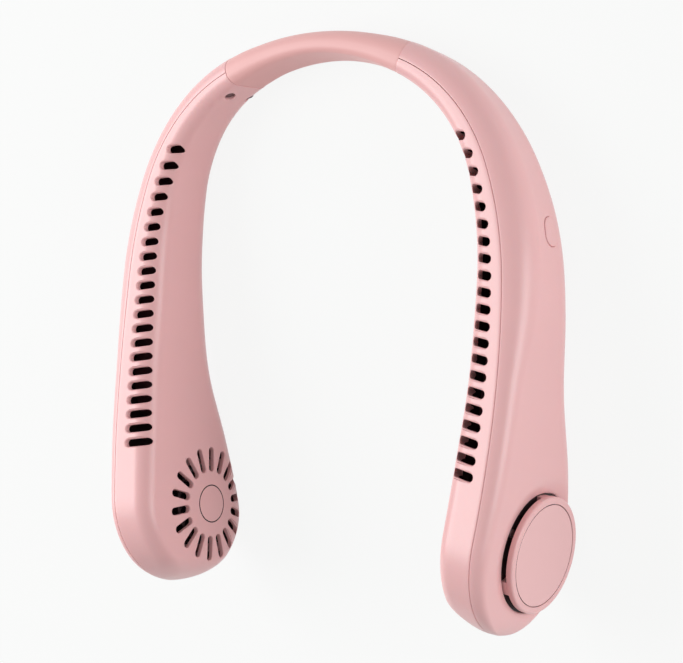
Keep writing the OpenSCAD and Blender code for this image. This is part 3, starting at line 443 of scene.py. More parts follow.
def make_mesh(name, verts, faces, flip=False, merge=2e-7, fills=(), second=()):
    """Mesh of a point array and quads, with doubles merged. fills are rings closed by one face, and
    second marks, in the order of the quads, those that take the second material."""
    quads = faces[:, ::-1] if flip else faces
    me = bpy.data.meshes.new(name)
    polys = [tuple(f) for f in quads.tolist()] + [tuple(f[::-1] if flip else f) for f in fills]
    me.from_pydata(verts.reshape(-1, 3).tolist(), [], polys)
    if len(second):
        slots = np.zeros(len(polys), np.int32)
        slots[:len(second)] = second
        me.materials.append(None)
        me.materials.append(None)
        me.polygons.foreach_set("material_index", slots)
    bm = bmesh.new()
    bm.from_mesh(me)
    bmesh.ops.remove_doubles(bm, verts=bm.verts, dist=merge)
    bmesh.ops.dissolve_degenerate(bm, dist=merge, edges=bm.edges)
    bm.to_mesh(me)
    bm.free()
    me.validate()
    obj = bpy.data.objects.new(name, me)
    bpy.context.scene.collection.objects.link(obj)
    return obj


def cut(obj, tool, how="DIFFERENCE"):
    """Boolean of obj with tool, applied, and the tool removed. Both are closed meshes."""
    mod = obj.modifiers.new("cut", "BOOLEAN")
    mod.operation, mod.object, mod.solver = how, tool, "MANIFOLD"
    bpy.context.view_layer.update()
    done = bpy.data.meshes.new_from_object(obj.evaluated_get(bpy.context.evaluated_depsgraph_get()))
    if len(done.polygons) < 4:
        raise RuntimeError(f"{obj.name}: the {how} with {tool.name} left nothing")
    obj.modifiers.clear()
    old, obj.data = obj.data, done
    bpy.data.meshes.remove(old)
    bpy.data.objects.remove(tool)
    return obj


def smooth(obj, angle=32):
    """Smooth shading with sharp edges where faces meet at more than that angle."""
    obj.data.polygons.foreach_set("use_smooth", [True] * len(obj.data.polygons))
    obj.data.set_sharp_from_angle(angle=math.radians(angle))
    return obj


def half_shell(name, half, side, look):
    """Hollow half of an arm: its skin and, a wall further in, its inner face, closed at the seam and
    at the joint, where the skin's edge is eased. half is -1 towards the neck, side -1 on the left arm.
    The inner face takes the second material: painted shade, a dark colour that makes the slots and gaps
    look dark inside."""
    gap, e = SEAM_GAP / 2, look.end_edge
    a = np.radians(np.linspace(0, 90, 5)[1:][::-1])
    q_in, q_even = stations(JOINT_Q, WALL), stations(JOINT_Q + e)
    q_out = np.concatenate([JOINT_Q + e * (1 - np.sin(a)), q_even])
    w_out = np.concatenate([e * (1 - np.cos(a)), 0 * q_even])

    def outline(edge):
        return lambda q, w: half_section(q, half, w, gap, edge)

    skin = joined(q_out, outline(look.seam_edge), JOINT_GAP / 2, (w_out, e))
    lining = joined(q_in, outline(LINING_EDGE), JOINT_GAP / 2, (WALL, WALL))
    skin = pod_shape(skin, half, look)
    lining = pod_shape(lining, half, look, True)
    short = skin.shape[0] - lining.shape[0]
    lining = np.concatenate([np.repeat(lining[:1], short, axis=0), lining])
    rows, cols = skin.shape[:2]
    points = np.concatenate([skin, lining[:, ::-1]], axis=1)
    faces = grid_faces(rows, 2 * cols, wrap=True)
    j = np.arange(cols - 1)
    cap = np.stack([j, j + 1, 2 * cols - 2 - j, 2 * cols - 1 - j], -1)
    flip = (half > 0) == (side > 0)
    column = np.arange(2 * cols)
    # quads of the inner face, which take the painted shade
    shade_faces = np.tile((column >= cols) & (column < 2 * cols - 1), rows - 1)
    return make_mesh(name, to_row(points, side), np.concatenate([faces, cap]), flip=flip, second=shade_faces)


def prism(name, rings, side, flip=False):
    """Closed solid through rings of points, given as an array of rings, points and coordinates."""
    rows, cols = rings.shape[:2]
    fills = [list(range(cols)), list(range(rows * cols - 1, (rows - 1) * cols - 1, -1))]
    return make_mesh(name, to_row(rings, side), grid_faces(rows, cols, True), flip=flip, fills=fills)


def join(name, parts):
    """One object of several closed meshes, for use as a tool of a boolean."""
    bm = bmesh.new()
    for o in parts:
        bm.from_mesh(o.data)
    me = bpy.data.meshes.new(name)
    me.materials.append(None)
    me.materials.append(None)
    bm.to_mesh(me)
    bm.free()
    for o in parts:
        bpy.data.objects.remove(o)
    obj = bpy.data.objects.new(name, me)
    bpy.context.scene.collection.objects.link(obj)
    return obj


def outward(obj):
    """Recalculates the normals of a closed convex-like tool so that its faces point outwards."""
    bm = bmesh.new()
    bm.from_mesh(obj.data)
    bmesh.ops.recalc_face_normals(bm, faces=bm.faces)
    bm.to_mesh(obj.data)
    bm.free()
    return obj


def stadium(width, length, grow=0.0, n=14):
    """Outline of a slot with round ends, along its first coordinate, drawn out by grow."""
    r = width / 2 + grow
    a = np.radians(np.linspace(-90, 90, n))
    half = (length - width) / 2
    right = np.stack([half + r * np.cos(a), r * np.sin(a)], -1)
    return np.concatenate([right, -right])


def eased_steps(radius, above, below, n=6):
    """Offset and depth of the rings of a cutter that rounds off the rim of its hole: a quarter circle
    from the skin down, with a straight wall under it."""
    a = np.radians(np.linspace(0, 90, n))
    offset = np.concatenate([[radius], radius * (1 - np.sin(a)), [0]])
    depth = np.concatenate([[-above], radius * (1 - np.cos(a)), [below]])
    return offset, depth


def slot_tools(side, look):
    """Cutters of the air slots. Each ring of a cutter is a slot outline that lies a set depth under the
    front face, so the rim is rounded evenly where the face slopes and turns."""
    offset, depth = eased_steps(look.slot_edge, 1.5, 7.0)
    tools = []
    s, c = math.sin(SLOT_LEAN), math.cos(SLOT_LEAN)
    for k in range(SLOT_N):
        level = -SLOT_FIRST - k * SLOT_PITCH
        q = np.array(2 * BAND_Q + k * SLOT_PITCH)
        for _ in range(8):
            x, y, h = plan(q)
            q = q - (x * s + y * c - level) / (np.cos(h) * s - np.sin(h) * c)
        x, y, h = plan(q)
        turn = math.cos(math.pi / 2 - float(h) + SLOT_LEAN)
        s_here = sizes_at(q)
        deep = float(s_here.i)
        near = (SLOT_MARGIN + SLOT_DRIFT * deep) / turn
        far = min(SLOT_REACH * deep / turn, SLOT_FAR + max(k - SLOT_FAR_N, 0) * SLOT_FAR_STEP)
        floor = float(s_here.f) - math.tan(INNER_SLOPE) * deep - 0.8 * float(s_here.ri) - WALL
        rings = []
        for e, d in zip(offset, depth):
            v = stadium(SLOT_W, far - near, e)
            u, w = v[:, 0] - (near + far) / 2, v[:, 1]
            px, py = float(x) + u * c + w * s, float(y) - u * s + w * c
            z = front_z(px, py) - d
            if d < 0 or d > 2:
                z = np.full_like(z, floor if d > 0 else float(s_here.f) + 3)
            rings.append(np.stack([px, py, z], -1))
        tools.append(outward(prism("slot_tool", np.array(rings), side)))
    return join("slot_tools", tools)


def grille_tools(side, look):
    """Cutters of the grille: radial slots whose rings follow the domed inner face, and the thin ring
    groove round the middle."""
    offset, depth = eased_steps(look.grille_edge, 2.5, 3.4)
    tools = []
    for k in range(GRILLE_N):
        a = math.radians((k + 0.5) * 360 / GRILLE_N)
        end = min(GRILLE_R, GRILLE_BACK / math.cos(a)) if math.cos(a) > 1e-9 else GRILLE_R
        rings = []
        for e, d in zip(offset, depth):
            v = stadium(SLOT_W, end - GRILLE_IN_R, e)
            r, w = v[:, 0] + (end + GRILLE_IN_R) / 2, v[:, 1]
            up, t = -(r * math.cos(a) - w * math.sin(a)), r * math.sin(a) + w * math.cos(a)
            skin = face_in_arm(FAN_Q, FAN_DEPTH, t, up, -1) - dome_height(np.hypot(t, up), look)
            if d < 0 or d > 2:
                skin, d = np.full_like(skin, -POD_IN), GRILLE_REACH if d > 0 else -3
            rings.append(from_arm(FAN_Q, FAN_DEPTH, skin + d, t, up))
        tools.append(outward(prism("grille_tool", np.array(rings), side)))
    tools.append(ring_groove(side, look))
    return join("grille_tools", tools)


def ring_groove(side, look):
    """Cutter of the ring groove: a small closed profile carried round the blower's axis, that keeps to the
    domed face. Its faces take the second material, so the groove's walls get the dark painted shade."""
    a = np.linspace(0, 2 * math.pi, 145)
    w, d = look.groove_w / 2, look.groove_d
    flank = [(1.3, -0.6), (1.3, 0), (1, 0.12 * d), (0.7, d)]
    profile = [(-k * w, v) for k, v in flank] + [(k * w, v) for k, v in flank[::-1]]
    rings = []
    for dr, dd in profile:
        r = MARK_R + dr
        t, up = r * np.sin(a), r * np.cos(a)
        skin = face_in_arm(FAN_Q, FAN_DEPTH, t, up, -1) - dome_height(r, look)
        rings.append(from_arm(FAN_Q, FAN_DEPTH, skin + dd, t, up))
    rings = np.array(rings).transpose(1, 0, 2)
    faces = grid_faces(rings.shape[0], rings.shape[1], True)
    # all its faces take the painted shade
    shade_faces = np.ones(len(faces))
    return outward(make_mesh("ring_tool", to_row(rings, side), faces, merge=1e-6, second=shade_faces))


def turned(name, profile, side, q0=FAN_Q, depth=FAN_DEPTH, centre=(0, 0), n=96):
    """Solid of a profile of [radius, x] points turned round an axis that points outward from the arm
    at q0 and that depth. The profile starts and ends on the axis or closes on itself."""
    profile = np.array(profile, float)
    a = np.linspace(0, 2 * math.pi, n + 1)
    r, x = profile[:, 0][None, :], profile[:, 1][None, :]
    t = centre[0] + r * np.sin(a)[:, None]
    up = centre[1] + r * np.cos(a)[:, None]
    points = from_arm(q0, depth, x + 0 * t, t, up)
    closed = profile[0, 0] > 1e-9 or profile[-1, 0] > 1e-9
    faces = grid_faces(points.shape[0], points.shape[1], closed)
    return outward(make_mesh(name, to_row(points, side), faces, merge=1e-6))


def rounded(corners, radius, n=6):
    """Profile through corners, with every corner that isn't on the axis rounded off by an arc of that
    radius, or by its own radius where a corner has three numbers."""
    pts = [np.array(c[:2], float) for c in corners]
    radii = [c[2] if len(c) > 2 else radius for c in corners]
    out = []
    for k, p in enumerate(pts):
        if p[0] < 1e-9 or k in (0, len(pts) - 1) or radii[k] <= 0:
            out.append(p)
            continue
        a, b = pts[k - 1] - p, pts[k + 1] - p
        la, lb = np.linalg.norm(a), np.linalg.norm(b)
        a, b = a / la, b / lb
        half = math.acos(float(np.clip(a @ b, -1, 1))) / 2
        cut_at = min(radii[k] / math.tan(half), 0.45 * la, 0.45 * lb)
        r = cut_at * math.tan(half)
        mid = (a + b) / np.linalg.norm(a + b)
        centre = p + mid * r / math.sin(half)
        s, e = p + a * cut_at - centre, p + b * cut_at - centre
        sweep = math.acos(float(np.clip(s @ e / (r * r), -1, 1)))
        for t in np.linspace(0, 1, n):
            out.append(centre + (s * math.sin((1 - t) * sweep) + e * math.sin(t * sweep)) / math.sin(sweep))
    return np.array(out)


def round_at(ring, angle):
    """Along and up of a place on a ring round the blower, at an angle from the front to the apex."""
    a = math.radians(angle)
    return ring * math.sin(a), ring * math.cos(a)


def ring_of(radius, n=48):
    """Points of a circle, as two arrays."""
    a = np.linspace(0, 2 * math.pi, n, endpoint=False)
    return radius * np.cos(a), radius * np.sin(a)


def whole_arm(name, side, w, q0=150.0, q1=None):
    """Closed solid of the arm from q0 to q1 or its tip, drawn in by w, that keeps inner walls inside
    the skin."""
    q = stations(q0, w, 2.0) if q1 is None else np.linspace(q0, q1, 18)
    inner, outer = half_section(q, -1, w), half_section(q, 1, w)
    loop = np.concatenate([inner, outer[:, ::-1]], axis=1)
    return outward(prism(name, carry(q, loop), side))


def plug(radius, x0, x1, side, angle=0, ring=0.0, n=32):
    """Plain round tool along the blower's axis."""
    profile = [(0, x0), (radius, x0), (radius, x1), (0, x1)]
    return turned("plug_tool", profile, side, centre=round_at(ring, angle), n=n)


def inner_half(name, side, look):
    """The half of an arm towards the neck: slots, grille, bosses and the two sunk screw holes."""
    shell = half_shell(name, -1, side, look)
    spots = [(q, z, float(face_x(np.array(q), z, -1))) for q, z in SCREWS]
    for q, z, skin in spots:
        boss = turned("boss", [(0, skin), (BOSS_R, skin), (BOSS_R, skin + BOSS_H), (0, skin + BOSS_H)],
                      side, q, 0, (0, z), 48)
        cut(boss, whole_arm("inside", side, WALL / 2, *BOSS_SPAN), "INTERSECT")
        cut(shell, boss, "UNION")
    for angle in SHELL_SCREW_ANGLES:
        floor = -POD_IN + WALL
        cut(shell, plug(SHELL_BOSS_R, floor - 0.5, -SEAM_GAP / 2, side, angle, SHELL_SCREW_RING), "UNION")
        cut(shell, plug(SHELL_SCREW_R, floor, 1, side, angle, SHELL_SCREW_RING))
    cut(shell, slot_tools(side, look))
    cut(shell, grille_tools(side, look))
    for q, z, skin in spots:
        rings = []
        for e, d in zip(*eased_steps(look.hole_edge, 1.5, BOSS_H - BOSS_WEB)):
            t, up = ring_of(SCREW_HOLE_R + e)
            face = face_in_arm(q, 0, t, up + z, -1)
            if d < 0 or d > 1:
                face, d = np.full_like(face, skin), d if d > 0 else -3
            rings.append(from_arm(q, 0, face + d, t, up + z))
        for r, x in ((SCREW_SHANK_R + FIT, skin + BOSS_H - BOSS_WEB), (SCREW_SHANK_R + FIT, skin + 5)):
            t, up = ring_of(r)
            rings.append(from_arm(q, 0, x + 0 * t, t, up + z))
        cut(shell, outward(prism("hole", np.array(rings), side)))
    return smooth(shell)


def outer_half(name, side, look):
    """The half of an arm that faces away: the dished recess of the disc and, on the right arm, the
    openings of the button and of the charging socket."""
    shell = half_shell(name, 1, side, look)
    cup = turned("cup", [(0, RECESS_FLOOR - CUP_FLOOR), (RECESS_R + CUP_WALL, RECESS_FLOOR - CUP_FLOOR),
                         (RECESS_R + CUP_WALL, LIP - 0.1), (0, LIP - 0.1)], side, n=128)
    cut(cup, whole_arm("inside", side, WALL / 4), "INTERSECT")
    cut(shell, cup, "UNION")
    e = look.lip_edge
    recess = [(0, RECESS_FLOOR), (RECESS_R, RECESS_FLOOR), (RECESS_R, LIP - e),
              (RECESS_R + 0.3 * e, LIP - 0.3 * e), (RECESS_R + e, LIP + 0.4 * e), (RECESS_R + e, LIP + 12),
              (0, LIP + 12)]
    cut(shell, turned("recess", recess, side, n=160))
    cut(shell, plug(THROAT_R, -3, 5, side, n=96))
    for angle in SHELL_SCREW_ANGLES:
        cut(shell, plug(SHELL_SCREW_R + FIT, -3, 5, side, angle, SHELL_SCREW_RING))
    for ring, angle in FEET:
        cut(shell, plug(PIN_R + FIT, RECESS_FLOOR - CUP_FLOOR + 0.1, 5, side, angle, ring))
    if side > 0:
        cut(shell, button_hole(side, look))
        cut(shell, port_hole(side))
    return smooth(shell)


def button_outline(grow):
    """Along and up of the button's outline, a slot that stands along the arm."""
    v = stadium(BUTTON_W, BUTTON_H, grow, 20)
    return v[:, 0], v[:, 1]


def button_hole(side, look):
    """Cutter of the button's opening, with an eased rim that follows the outer face."""
    offset, depth = eased_steps(look.button_edge, 2.0, 4.0)
    rings = []
    for e, d in zip(offset, depth):
        t, up = button_outline(e + FIT)
        skin = face_in_arm(BUTTON_Q, BUTTON_DEPTH, t, up, 1)
        rings.append(from_arm(BUTTON_Q, BUTTON_DEPTH, skin - d, t, up))
    return outward(prism("button_tool", np.array(rings), side))


def port_hole(side):
    """Cutter of the socket's opening in the back edge, with a small chamfer at the rim."""
    low = float(sizes_at(np.array(BUTTON_Q - PORT_Y)).b)
    centre = PORT_X + PORT_T / 2
    rings = []
    for grow, z in ((0.45, -2.0), (0.45, -0.05), (0.12, 0.3), (0, 0.8), (0, PORT_DEPTH)):
        v = stadium(PORT_T, PORT_W, FIT + grow, 12)
        x, along = centre + v[:, 1], PORT_Y + v[:, 0] - PORT_BACK
        rings.append(from_arm(BUTTON_Q, 0, x, along, low + z + 0 * x))
    return outward(prism("port_tool", np.array(rings), side))


def outer_disc(name, side, look):
    """Raised disc with a soft rim and a seat for its plate, on two rim bridges and two posts."""
    seat = DISC_TOP - PLATE_T - PLATE_SINK
    corners = [(0, DISC_LOW), (DISC_R, DISC_LOW, 0.3), (DISC_R, DISC_TOP, look.rim_edge),
               (PLATE_R + FIT, DISC_TOP, 0.15), (PLATE_R + FIT, seat, 0.05), (0, seat)]
    disc = turned(name, rounded(corners, 0.1, 7), side, n=160)
    for angle in BRIDGE_ANGLES:
        cut(disc, bridge(angle, side), "UNION")
    for angle in POST_ANGLES:
        cut(disc, plug(POST_R, INTAKE_TOP, DISC_LOW + 0.5, side, angle, POST_RING), "UNION")
    pin_low, pin_top = RECESS_FLOOR - CUP_FLOOR + FIT, INTAKE_TOP + 0.2
    for ring, angle in FEET:
        cut(disc, plug(PIN_R, pin_low, pin_top, side, angle, ring), "UNION")
    return smooth(disc)


def bridge(angle, side):
    """Block under the disc's rim: a rectangle carried round the blower's axis over a short arc."""
    a = np.radians(np.linspace(angle - BRIDGE_SPREAD / 2, angle + BRIDGE_SPREAD / 2, 15))
    r0, r1 = DISC_R - BRIDGE_BACK - BRIDGE_W, DISC_R - BRIDGE_BACK
    box = [(r0, INTAKE_TOP), (r1, INTAKE_TOP), (r1, DISC_LOW + 0.5), (r0, DISC_LOW + 0.5)]
    rings = np.array([[(r, x) for r, x in box]] * len(a))
    r, x = rings[..., 0], rings[..., 1]
    points = from_arm(FAN_Q, FAN_DEPTH, x, r * np.sin(a)[:, None], r * np.cos(a)[:, None])
    return outward(prism("bridge_tool", points, side))


def shade_plate_edge(obj, side):
    """Marks the faces of the plate's cut edge, those that turn away from the blower's axis, as the second
    material: painted shade, a thin dark line round the plate."""
    ends = to_row(from_arm(FAN_Q, FAN_DEPTH, np.array([0, 1 / MM]), 0, 0), side)
    normals = np.empty(3 * len(obj.data.polygons), np.float32)
    obj.data.polygons.foreach_get("normal", normals)
    turned_away = np.abs(normals.reshape(-1, 3) @ (ends[1] - ends[0])) < 0.75
    obj.data.materials.append(None)
    obj.data.materials.append(None)
    obj.data.polygons.foreach_set("material_index", turned_away.astype(np.int32))
    return obj


def disc_plate(name, side, look):
    """Thin glossy plate in the disc, with an eased rim, a face that is dished a little and painted shade on
    its edge.
    """
    top, low = DISC_TOP - PLATE_SINK, DISC_TOP - PLATE_T - PLATE_SINK
    r = np.linspace(PLATE_R - 0.4, 0, 24)
    face = [(v, top - look.plate_dish * (1 - (v / PLATE_R) ** 2)) for v in r]
    edge_r = PLATE_R - look.plate_gap
    rim = rounded([(0, low), (edge_r, low, 0.05), (edge_r, top, 0.15), (PLATE_R - 0.4, top)], 0.1, 5)
    return shade_plate_edge(smooth(turned(name, list(map(tuple, rim[:-1])) + face, side, n=160)), side)


def power_button(name, side, look):
    """Long oval cap: its face follows the arm's skin a little proud, with a rounded rim, over a
    flange and a stem."""
    e = look.cap_edge
    a = np.radians(np.linspace(0, 90, 7))
    skin_x = float(sizes_at(np.array(BUTTON_Q)).o)
    flange = skin_x - WALL - 0.8 - 1.4
    rings = []
    for share in (0.25, 0.5, 0.72, 0.88):
        t, up = button_outline(-e)
        t, up = t * share, up * share
        skin = face_in_arm(BUTTON_Q, BUTTON_DEPTH, t, up, 1)
        rings.append(from_arm(BUTTON_Q, BUTTON_DEPTH, skin + BUTTON_PROUD, t, up))
    for v in a:
        t, up = button_outline(-e * (1 - math.sin(v)))
        skin = face_in_arm(BUTTON_Q, BUTTON_DEPTH, t, up, 1)
        rings.append(from_arm(BUTTON_Q, BUTTON_DEPTH, skin + BUTTON_PROUD - e * (1 - math.cos(v)), t, up))
    for grow, x in ((0, flange + 0.8), (0.7, flange + 0.8), (0.7, flange)):
        t, up = button_outline(grow)
        rings.append(from_arm(BUTTON_Q, BUTTON_DEPTH, x + 0 * t, t, up))
    t, up = button_outline(0)
    shrink = BUTTON_W / 4 / np.hypot(t, up)
    for x in (flange, SWITCH_X + SWITCH_REACH):
        rings.append(from_arm(BUTTON_Q, BUTTON_DEPTH, x + 0 * t, t * shrink, up * shrink))
    return smooth(outward(prism(name, np.array(rings), side)))


def band_half(name, side, look):
    """Half of the soft neck band, from the apex to the arm: the arm's section a step further in, with
    a rounded end, a channel for the strip and wires and a socket for the coupler's tongue."""
    e = look.band_edge
    a = np.radians(np.linspace(0, 90, 6)[1:])
    q = np.concatenate([np.linspace(0, JOINT_Q - e, 44), JOINT_Q - e * (1 - np.sin(a))])
    rise = np.clip((q - JOINT_Q + STEP_START) / STEP_REACH, 0, 1)
    rise = rise * rise * (3 - 2 * rise)
    w = BAND_STEP + (look.joint_step - BAND_STEP) * rise
    w[44:] += e * (1 - np.cos(a))

    def outline(at_q, at_w):
        inner, outer = half_section(at_q, -1, at_w), half_section(at_q, 1, at_w)
        return np.concatenate([inner, outer[:, ::-1]], axis=1)

    points = joined(q, outline, look.band_gap, (w, look.joint_step + e))
    band = outward(prism(name, points, side))
    path = np.linspace(-2, JOINT_Q - CHANNEL_SHORT, 40)
    box = np.broadcast_to(corners_of(CHANNEL_X, CHANNEL_Z), (len(path), 4, 2))
    cut(band, outward(prism("channel_tool", carry(path, box), side)))
    x, up = corners_of(SOCKET_X, SOCKET_Z).T
    ends = [from_arm(BAND_Q, 0, x, along + 0 * x, up) for along in SOCKET_ALONG]
    cut(band, outward(prism("socket_tool", np.array(ends), side)))
    return smooth(band)


def corners_of(across, up):
    """The four corners of a rectangle given by two limits each way."""
    return np.array([(across[0], up[0]), (across[1], up[0]), (across[1], up[1]), (across[0], up[1])])


def material(name):
    """New material with its node tree and its Principled shader."""
    mat = bpy.data.materials.new(name)
    mat.use_nodes = True
    return mat, mat.node_tree, mat.node_tree.nodes["Principled BSDF"]


def group(name, inputs, outputs):
    """Shader node group with named inputs (name, kind, default) and outputs (name, kind)."""
    tree = bpy.data.node_groups.new(name, "ShaderNodeTree")
    for label, kind, default in inputs:
        socket = tree.interface.new_socket(label, in_out="INPUT", socket_type=kind)
        if default is not None:
            socket.default_value = default
    for label, kind in outputs:
        tree.interface.new_socket(label, in_out="OUTPUT", socket_type=kind)
    return tree, tree.nodes.new("NodeGroupInput"), tree.nodes.new("NodeGroupOutput")


def maths(tree, operation, *values):
    """Output of a new math node whose inputs are linked to the given sockets or set to numbers."""
    node = tree.nodes.new("ShaderNodeMath")
    node.operation = operation
    for place, value in zip(node.inputs, values):
        if isinstance(value, float):
            place.default_value = value
        else:
            tree.links.new(value, place)
    return node.outputs[0]


def moulded_group():
    """Moulded plastic: a very fine spark-eroded grain, slow waves of sink marks under it, and a slight
    drift of the colour and of the gloss."""
    tree, come, go = group(
        "Moulded Surface",
        [("Colour", "NodeSocketColor", (0.8, 0.5, 0.5, 1)), ("Drift", "NodeSocketFloat", 0.04),
         ("Roughness", "NodeSocketFloat", 0.4), ("Gloss Drift", "NodeSocketFloat", 0.05),
         ("Grain Size", "NodeSocketFloat", 6000.0), ("Grain Depth", "NodeSocketFloat", 0.05),
         ("Wave Depth", "NodeSocketFloat", 0.05)],
        [("Colour", "NodeSocketColor"), ("Roughness", "NodeSocketFloat"), ("Normal", "NodeSocketVector")],
    )
    link = tree.links.new
    place = tree.nodes.new("ShaderNodeTexCoord").outputs["Object"]
    grain, slow, waves = (tree.nodes.new("ShaderNodeTexNoise") for _ in range(3))
    for node, scale, detail in ((grain, 5.0, 2.0), (slow, 55.0, 3.0), (waves, 130.0, 1.0)):
        node.inputs["Scale"].default_value = scale
        node.inputs["Detail"].default_value = detail
        link(place, node.inputs["Vector"])
    link(come.outputs["Grain Size"], grain.inputs["Scale"])
    centred = maths(tree, "SUBTRACT", slow.outputs["Fac"], 0.5)
    shade = tree.nodes.new("ShaderNodeHueSaturation")
    link(come.outputs["Colour"], shade.inputs["Color"])
    link(maths(tree, "MULTIPLY_ADD", centred, come.outputs["Drift"], 1.0), shade.inputs["Value"])
    link(shade.outputs["Color"], go.inputs["Colour"])
    link(maths(tree, "MULTIPLY_ADD", centred, come.outputs["Gloss Drift"], come.outputs["Roughness"]),
         go.inputs["Roughness"])
    first, second = tree.nodes.new("ShaderNodeBump"), tree.nodes.new("ShaderNodeBump")
    bumps = (first, 0.0001, grain, "Grain Depth"), (second, 0.001, waves, "Wave Depth")
    for bump, distance, height, depth in bumps:
        bump.inputs["Distance"].default_value = distance
        link(height.outputs["Fac"], bump.inputs["Height"])
        link(come.outputs[depth], bump.inputs["Strength"])
    link(second.outputs["Normal"], first.inputs["Normal"])
    link(first.outputs["Normal"], go.inputs["Normal"])
    return tree


def moulded(name, colour, roughness=0.4, drift=0.04, grain=0.05, size=6000.0, wave=0.04, **plain):
    """Material of moulded plastic, rubber, lacquer or metal. plain are constants of the shader."""
    mat, tree, shader = material(name)
    surface = tree.nodes.new("ShaderNodeGroup")
    surface.node_tree = bpy.data.node_groups.get("Moulded Surface") or moulded_group()
    values = {"Colour": (*colour[:3], 1), "Drift": drift, "Roughness": roughness, "Gloss Drift": 0.06,
              "Grain Size": size, "Grain Depth": grain, "Wave Depth": wave}
    for key, value in values.items():
        surface.inputs[key].default_value = value
    tree.links.new(surface.outputs["Colour"], shader.inputs["Base Color"])
    tree.links.new(surface.outputs["Roughness"], shader.inputs["Roughness"])
    tree.links.new(surface.outputs["Normal"], shader.inputs["Normal"])
    for key, value in plain.items():
        shader.inputs[key.replace("_", " ")].default_value = value
    return mat


def linear(colour):
    """Linear values of a colour given in display values from 0 to 1."""
    c = np.asarray(colour, float)
    return tuple(np.where(c <= 0.04045, c / 12.92, ((c + 0.055) / 1.055) ** 2.4))


def dress(obj, body, slot, mat, *nodes, lining=None):
    """Gives a new piece its material, body and the nodes that it stands for; the slot argument is not used.
    lining is the material of faces marked as the second one."""
    keep = np.empty(len(obj.data.polygons), np.int32)
    obj.data.polygons.foreach_get("material_index", keep)
    obj.data.materials.clear()
    obj.data.materials.append(mat)
    if lining:
        obj.data.materials.append(lining)
        obj.data.polygons.foreach_set("material_index", np.minimum(keep, 1))
    if body:
        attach(obj, body)
    if nodes:
        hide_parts(*nodes)
    return obj


def finish_node(name, mat):
    """Material of a solid that is shown as it is."""
    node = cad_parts[name]
    node.data.materials.clear()
    node.data.materials.append(mat)
    node.data.polygons.foreach_set("material_index", [0] * len(node.data.polygons))


def millimetres(name, description, default, low, high):
    """Property for a length in millimetres."""
    return bpy.props.FloatProperty(
        name=name, description=f"{description} (mm)", default=default, min=low, max=high)


def display_colour(name, description, default):
    """Property for a colour in display values."""
    return bpy.props.FloatVectorProperty(
        name=name, description=description, subtype="COLOR_GAMMA", default=default, min=0, max=1)


class NeckFanForm(bpy.types.PropertyGroup):
    """Sizes of the edges and soft shapes that the solids leave plain, in millimetres."""

    slot_edge: millimetres(
        "Slot Edge", "Radius that eases the rims of the air slots", 0.6, 0.1, 0.8)
    grille_edge: millimetres(
        "Grille Edge", "Radius that eases the rims of the grille's slots", 0.45, 0.1, 0.6)
    seam_edge: millimetres(
        "Seam Edge", "Radius of the shells' edges at the parting line", 0.13, 0.05, 0.4)
    hole_edge: millimetres("Hole Edge", "Radius of the rims of the screw holes", 0.35, 0.1, 0.6)
    button_edge: millimetres(
        "Button Opening Edge", "Radius of the rim round the button", 0.2, 0.05, 0.4)
    cap_edge: millimetres("Button Edge", "Radius of the button's own rim", 0.3, 0.1, 0.8)
    lip_edge: millimetres(
        "Lip Edge", "Size of the eased lip round the disc's recess", 0.3, 0.1, 0.5)
    rim_edge: millimetres("Disc Rim", "Radius of the raised disc's upper rim", 0.8, 0.3, 1.2)
    dome: millimetres("Grille Dome", "Height of the grille's swelling at its middle", 0.6, 0.0, 0.6)
    dome_r: millimetres(
        "Dome Radius", "Radius at which the grille's swelling ends", 21.0, 16.0, 26.0)
    dish_blend: millimetres(
        "Dish Blend", "Softness of the change from the pod into the dish", 0.9, 0.2, 2.0)
    groove_w: millimetres(
        "Ring Groove Width", "Width of the ring groove on the grille", 0.36, 0.2, 0.6)
    groove_d: millimetres(
        "Ring Groove Depth", "Depth of the ring groove on the grille", 0.55, 0.1, 0.6)
    plate_gap: millimetres(
        "Plate Gap", "How much smaller the plate is than its solid, all round", 0.12, 0.0, 0.2)
    plate_dish: millimetres(
        "Plate Hollow", "How much the disc's plate is hollowed at its middle", 0.1, 0.0, 0.4)
    end_edge: millimetres(
        "Arm End Edge", "Radius of the arm's edge where it meets the band", 0.1, 0.05, 0.5)
    band_gap: millimetres(
        "Band Gap", "Distance of the band's end past the joint's plane", 0.12, -0.15, 0.13)
    band_edge: millimetres(
        "Band Edge", "Radius of the band's edge where it meets the arm", 0.15, 0.1, 0.8)
    joint_step: millimetres(
        "Joint Step", "Step from the arm's skin down to the band's at the joint", 0.12, 0.05, 0.4)


class NeckFanFinish(bpy.types.PropertyGroup):
    """Colours and gloss of the visible finishes, and the dark colour painted on as shade inside the shells.
    """

    shell_colour: display_colour("Shell Colour", "Colour of the moulded shells", (0.925, 0.722, 0.722))
    band_colour: display_colour("Band Colour", "Colour of the soft neck band", (0.915, 0.695, 0.685))
    dark_colour: display_colour("Dark Colour", "Colour of the black parts inside", (0.15, 0.1, 0.11))
    # Painted shade: a dark colour on the shells' inner faces, the grille's ring groove and the plate's
    # edge, so that slots and gaps look shaded
    inside_shade_colour: display_colour("Inside Shade Colour", "Colour of the shells' inner faces", (0.2, 0.13, 0.13))
    shell_roughness: bpy.props.FloatProperty(
        name="Shell Roughness", description="Roughness of the shells", subtype="FACTOR",
        default=0.36, min=0, max=1)
    band_roughness: bpy.props.FloatProperty(
        name="Band Roughness", description="Roughness of the neck band", subtype="FACTOR",
        default=0.5, min=0, max=1)


